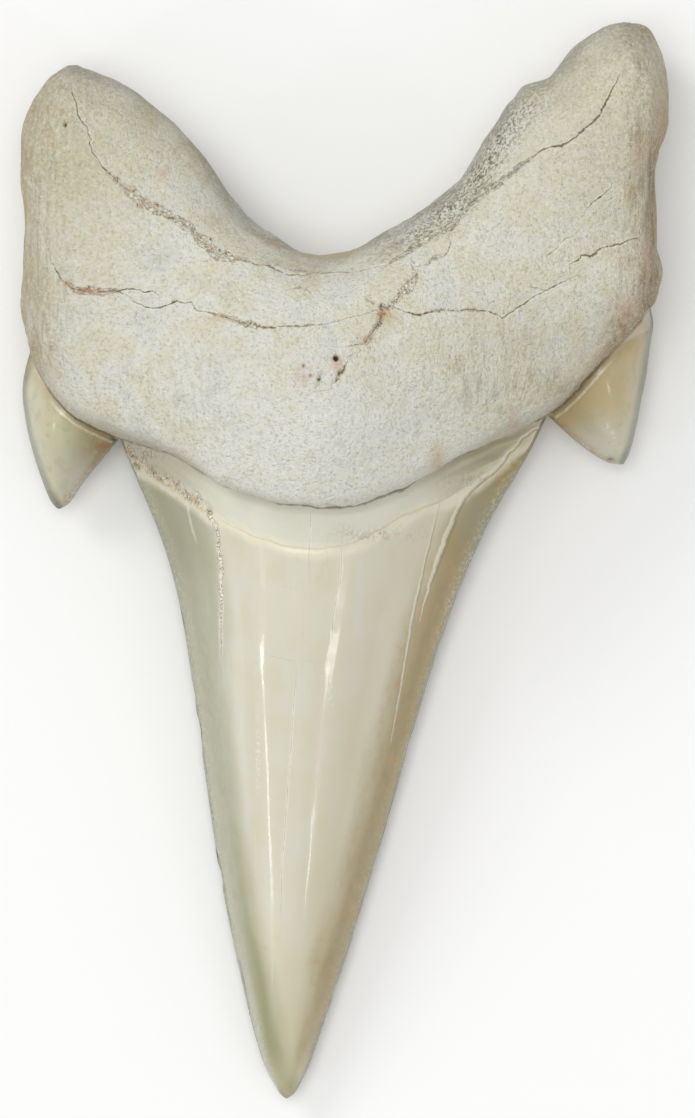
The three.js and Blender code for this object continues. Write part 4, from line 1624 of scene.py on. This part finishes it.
@dataclass(frozen=True)
class RockFinish:
    """The cracks: a dark core, and crumbs of pale rock in brown soil along parts of them."""

    deep: Colour = srgb(70, 57, 40)
    clay: Colour = srgb(134, 118, 86)
    soil: Colour = srgb(190, 152, 98)
    sand: Colour = srgb(254, 250, 230)
    peat: Colour = srgb(84, 72, 52)
    ash: Colour = srgb(104, 106, 94)
    crumb: float = 0.32
    reach: float = 0.55

    def lay(self, graph: Graph, pattern: Patterns, group: CrackGroup, surface: Surface) -> Surface:
        """Lays a group of cracks over a surface.

        Args:
            graph: the material's graph.
            pattern: the patterns that the finishes share.
            group: the group.
            surface: the surface's colour, and its fine relief in millimetres.

        Returns:
            The colour and the relief with the cracks.
        """
        colour, height = surface
        half, rock = graph.mask(f"{group.name}_half"), graph.mask(f"{group.name}_rock")
        away = abs(graph.mask(f"{group.name}_gap") + pattern.wander * 0.16)
        wide = half * (pattern.swell * 0.5 + pattern.speck * 3.0 - 1.2)
        core = (wide - away).rise(-0.025, 0.03) * (1.0 - rock * 0.6) * group.strength
        band = (rock * self.reach * pattern.patches - away).rise(-0.06, 0.06) * rock.rise(0.03, 0.15)
        rim = away.rise(group.halo, 0.03) * (1.0 - core) * half.rise(0.0, 0.05)
        joint = graph.mix(pattern.dark, self.soil, self.peat)
        joint = graph.mix(graph.mask("gritty") * 0.8, joint, self.ash)
        colour = graph.coat(
            colour,
            (band * 0.9, graph.mix(pattern.crumbs.rise(0.5, 0.7) * 0.8, self.sand, joint)),
            (band * (1.0 - band) * 2.0 * pattern.swell, joint),
            (pattern.speck.rise(0.56, 0.61) * band * 0.95, self.peat),
            # dark core: partly dark fill, partly painted shade inside the crack
            (core * 0.85, graph.mix(pattern.dark, self.clay, self.deep)),
            # pale rim: partly a pale lip, partly a painted highlight on the crack's edge
            (rim * group.pale, self.sand),
        )
        return colour, height + pattern.crumbs.rise(0.62, 0.3) * band * 0.2 - band * 0.06 - core * 0.12


@dataclass(frozen=True)
class ToothFinish:
    """The whole tooth's material: bone, bare band, enamel and the rock left in the cracks."""

    bone: BoneFinish = BoneFinish()
    enamel: EnamelFinish = EnamelFinish()
    rock: RockFinish = RockFinish()
    band: Colour = srgb(208, 206, 188)
    tan: Colour = srgb(190, 183, 150)
    cream: Colour = srgb(226, 220, 196)
    ridge: Colour = srgb(222, 217, 196)
    # the pale of fresh chips and crumbs, also used for the painted glints
    fresh_and_glint: Colour = srgb(232, 231, 222)
    gloss: float = 0.9
    coat_roughness: float = 0.06
    ior: float = 1.5

    def material(self, plan: Plan) -> bpy.types.Material:
        """Builds the material.

        Args:
            plan: the plan, for its scale.

        Returns:
            The material.
        """
        material = bpy.data.materials.new("fossil_tooth")
        graph = Graph(material, plan.millimetre)
        pattern, mask = Patterns(graph, self.rock.crumb), graph.mask
        ragged = pattern.ragged
        root = (mask("root_gap") + ragged).rise(-0.03, 0.03)
        band = (mask("edge_gap") + ragged * 0.6).rise(-0.04, 0.04) * mask("over_crown") * (1.0 - root)
        grains = mask("grains") * pattern.patches.rise(0.4, 0.9)
        surface = self._skin(graph, pattern, root, band), self._relief(graph, pattern, root, band)
        for group in (*ROOT_CRACKS, *CROWN_CRACKS):
            surface = self.rock.lay(graph, pattern, group, surface)
        colour = self._details(graph, pattern, surface[0], grains)
        height = surface[1] + grains * pattern.crumbs.rise(0.6, 0.2) * 0.12
        polish = (1.0 - root) * (1.0 - band * 0.85) * (1.0 - grains) * (1.0 - mask("nick") * 0.7)
        worn = mask("worn").most(mask("cusp_rim"))
        shine = polish * (1.0 - worn * 0.9) * (pattern.mottle * 1.2 + 0.2)
        bump = graph.add("ShaderNodeBump", {}, {"Strength": 1.0, "Distance": graph.unit, "Height": height})
        graph.finish(
            {
                "Base Color": colour,
                "Roughness": self.bone.roughness - polish * (self.bone.roughness - self.enamel.roughness),
                "Normal": bump,
                "IOR": self.ior,
                "Coat Weight": shine * self.gloss,
                "Coat Roughness": self.coat_roughness,
            }
        )
        return material

    def _skin(self, graph: Graph, pattern: Patterns, root: Wire, band: Wire) -> Wire:
        """Mixes the colour of bone, bare band and enamel, and of the lines where they meet.

        Args:
            graph: the material's graph.
            pattern: the patterns that the finishes share.
            root: the root's mask.
            band: the bare band's mask.

        Returns:
            The colour.
        """
        mask, patches, ragged = graph.mask, pattern.patches, pattern.ragged
        gap, crown = mask("root_gap"), mask("over_crown")
        cusps = (1.0 - crown) * mask("upper") * (1.0 - root)
        lip = abs(mask("edge_gap") + 0.3 + ragged).rise(0.7, 0.15) * crown * (1.0 - root)
        crest = abs(gap + CUSP_RIDGE + ragged * 0.5).rise(0.13, 0.05) * mask("cusp_ridge") * patches
        # painted shadow: a thin dark line just under the root's margin, strongest under the overhanging
        # ledge and along the cusplets
        under = abs(gap + 0.05 + ragged * 0.7).rise(0.16, 0.03)
        bare = graph.mix(pattern.blotch * 0.5, self.band, self.bone.ash)
        colour = graph.coat(
            graph.mix(root, self.enamel.colour(graph, pattern), self.bone.colour(graph, pattern)),
            (band, graph.mix(mask("dusk"), bare, self.tan)),
            (mask("bark") * band * 0.8, self.bone.grey_brown_and_shade),
            (lip * (patches * 0.3 + 0.55), self.cream),
            (gap.rise(-0.9, -0.3) * cusps * 0.5, self.bone.bark),
            (crest * 0.9, self.cream),
        )
        # lays the painted shadow under the root's margin by darkening
        dark = under * (mask("ledge").most(cusps) * 0.6 + 0.15)
        colour = graph.mix(dark, colour, self.bone.grey_brown_and_shade, Blend.DARKEN)
        return graph.mix(mask("nick") * 0.35, colour, self.fresh_and_glint)

    def _details(self, graph: Graph, pattern: Patterns, colour: Wire, grains: Wire) -> Wire:
        """Lays the rust, the crown's ridges, the crumbs, the pores, the chips and the painted glints over a
        colour.

        Args:
            graph: the material's graph.
            pattern: the patterns that the finishes share.
            colour: the colour.
            grains: the mask of the crumbs along the enamel's edge.

        Returns:
            The colour with them.
        """
        mask, patches, hole = graph.mask, pattern.patches, graph.mask("pit_gap")
        colour = graph.mix(mask("rust") * patches.rise(0.1, 0.9) * 0.75, colour, self.bone.rust)
        for group in CROWN_RIDGES:
            side, half = mask(f"{group.name}_gap"), mask(f"{group.name}_half")
            # painted shade where the surface steps down beside each ridge; the crest is partly pale enamel
            # and partly a painted highlight
            foot_shade = (half * 0.8 - abs(side - half * 1.6)).rise(-0.05, 0.05)
            crest = (half - abs(side + pattern.wander * 0.1)).rise(-0.05, 0.04)
            colour = graph.mix(foot_shade * 0.6, colour, self.enamel.umber)
            colour = graph.mix(crest * (patches * 0.3 + 0.6), colour, self.ridge)
        joint = graph.mix(pattern.dark, self.rock.soil, self.rock.ash)
        return graph.coat(
            colour,
            (grains * 0.75, graph.mix(pattern.crumbs.rise(0.36, 0.6), self.fresh_and_glint, joint)),
            (grains * pattern.speck.rise(0.54, 0.6) * 0.7, self.rock.peat),
            (hole.rise(0.16, 0.02) * 0.5, self.rock.soil),
            (hole.rise(0.03, -0.04) * 0.9, self.rock.deep),
            (mask("chip") * 0.9, self.rock.deep),
            # painted highlights: small white glints
            (mask("painted_glints") * pattern.speck.rise(0.5, 0.56) * 0.8, self.fresh_and_glint),
        )

    def _relief(self, graph: Graph, pattern: Patterns, root: Wire, band: Wire) -> Wire:
        """The finest relief: the bone's pores and fibres, and a faint ripple in the enamel.

        Args:
            graph: the material's graph.
            pattern: the patterns that the finishes share.
            root: the root's mask.
            band: the bare band's mask.

        Returns:
            The height, in millimetres.
        """
        pores = pattern.pores.rise(0.0, 0.3) * 0.08
        fibre = pattern.fibre * 0.45 * graph.mask("fibre")
        bone = pores + pattern.speck * 0.4 + pattern.mottle * 0.25 + fibre
        return bone * root + pattern.streak * 0.012 * (1.0 - root) + pattern.wander * band * 0.05


# ------------------------------------------------------------------------------------------------
# The studio
# ------------------------------------------------------------------------------------------------


@dataclass
class Floor:
    """The plain pale floor that the tooth lies on."""

    side: float = 3.0
    colour: Colour = (0.91, 0.91, 0.905, 1.0)
    roughness: float = 0.9

    def build(self) -> bpy.types.Object:
        """Builds the floor.

        Returns:
            The floor's object.
        """
        half = self.side / 2.0
        mesh = bpy.data.meshes.new("floor")
        corners = [(x * half, y * half, 0.0) for x, y in ((-1, -1), (1, -1), (1, 1), (-1, 1))]
        mesh.from_pydata(corners, [], [range(4)])
        floor = bpy.data.objects.new("floor", mesh)
        bpy.context.scene.collection.objects.link(floor)
        material = bpy.data.materials.new("floor")
        graph = Graph(material, 1.0)
        graph.finish({"Base Color": self.colour, "Roughness": self.roughness})
        mesh.materials.append(material)
        return floor


@dataclass(frozen=True)
class Softbox:
    """A rectangular light, by its tilt from straight above, its distance, its size and its radiance."""

    name: str
    tilt_x: float
    tilt_y: float
    distance: float
    size: Pair
    radiance: float

    def build(self) -> bpy.types.Object:
        """Hangs the light, facing the tooth, with its long side along Y.

        Returns:
            The light's object.
        """
        data = bpy.data.lights.new(self.name, "AREA")
        data.shape = "RECTANGLE"
        data.size, data.size_y = self.size
        data.energy = self.radiance * math.pi * self.size[0] * self.size[1]
        leans = [math.tan(math.radians(tilt)) for tilt in (self.tilt_x, self.tilt_y)]
        away = Vector((*leans, 1.0)).normalized()
        across = Vector((0.0, 1.0, 0.0)).cross(away).normalized()
        light = bpy.data.objects.new(self.name, data)
        turn = Matrix((across, away.cross(across), away)).transposed()
        light.matrix_world = Matrix.Translation(away * self.distance) @ turn.to_4x4()
        bpy.context.scene.collection.objects.link(light)
        return light


@dataclass
class Studio:
    """The camera above the tooth and the soft lights round it."""

    plan: Plan
    lens: float = 700.0
    sensor: float = 36.0
    view_length: float = 78.82
    aim: Pair = (0.21, 0.1)
    level: float = 5.0
    world: float = 0.58
    softboxes: tuple[Softbox, ...] = (
        Softbox("key", -6.0, 4.0, 2.0, (1.13, 1.13), 3.75),
        Softbox("side", -46.0, 42.0, 2.0, (0.66, 0.66), 6.0),
        Softbox("left_strip", -50.5, -36.0, 2.0, (0.1, 0.28), 8.0),
        Softbox("left_top", -50.5, -31.5, 2.0, (0.24, 0.12), 8.0),
        Softbox("right_strip", 40.0, -36.8, 2.0, (0.1, 0.12), 8.0),
        Softbox("right_top", 41.0, -34.0, 2.0, (0.3, 0.13), 7.0),
    )

    def camera(self) -> bpy.types.Object:
        """Hangs the camera over the tooth, looking straight down, with +Y up in its view.

        Returns:
            The camera's object.
        """
        unit = self.plan.millimetre
        data = bpy.data.cameras.new("camera")
        data.lens = self.lens
        data.sensor_width = self.sensor
        height = self.view_length * self.lens / self.sensor + self.level
        camera = bpy.data.objects.new("camera", data)
        camera.location = (self.aim[0] * unit, self.aim[1] * unit, height * unit)
        bpy.context.scene.collection.objects.link(camera)
        bpy.context.scene.camera = camera
        return camera

    def lights(self) -> None:
        """Lights the tooth: an even sky, a key light, a side light, and four strips for the highlights."""
        world = bpy.data.worlds.new("studio")
        world.use_nodes = True
        background = world.node_tree.nodes["Background"]
        background.inputs["Color"].default_value = (1.0, 1.0, 1.0, 1.0)
        background.inputs["Strength"].default_value = self.world
        bpy.context.scene.world = world
        for softbox in self.softboxes:
            softbox.build()


@dataclass
class Tooth:
    """The fossil tooth: its fine mesh, its relief and its finish."""

    plan: Plan

    def build(self) -> bpy.types.Object:
        """Builds and dresses the tooth.

        Returns:
            The tooth's object.
        """
        tooth = FineTooth(self.plan).build()
        skin = Skin.read(tooth, self.plan)
        Zones().mark(skin)
        RootRelief().carve(skin)
        EnamelRelief().carve(skin)
        skin.write(tooth, self.plan)
        tooth.data.materials.append(ToothFinish().material(self.plan))
        return tooth


def main() -> None:
    """Builds the scene, piece by piece."""
    logging.basicConfig(level=logging.INFO, format="%(name)s: %(message)s")
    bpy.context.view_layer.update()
    plan = Plan.of_node(NODE)
    studio = Studio(plan)
    studio.camera()
    studio.lights()
    Floor().build()
    LOG.info("floor, camera and lights are in place")
    tooth = Tooth(plan).build()
    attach(tooth, "root")
    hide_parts(NODE)
    tooth.data.calc_loop_triangles()
    LOG.info("tooth: %d points, %d triangles", len(tooth.data.vertices), len(tooth.data.loop_triangles))
    bpy.context.scene.view_settings.view_transform = "Standard"


if __name__ == "__main__":
    main()
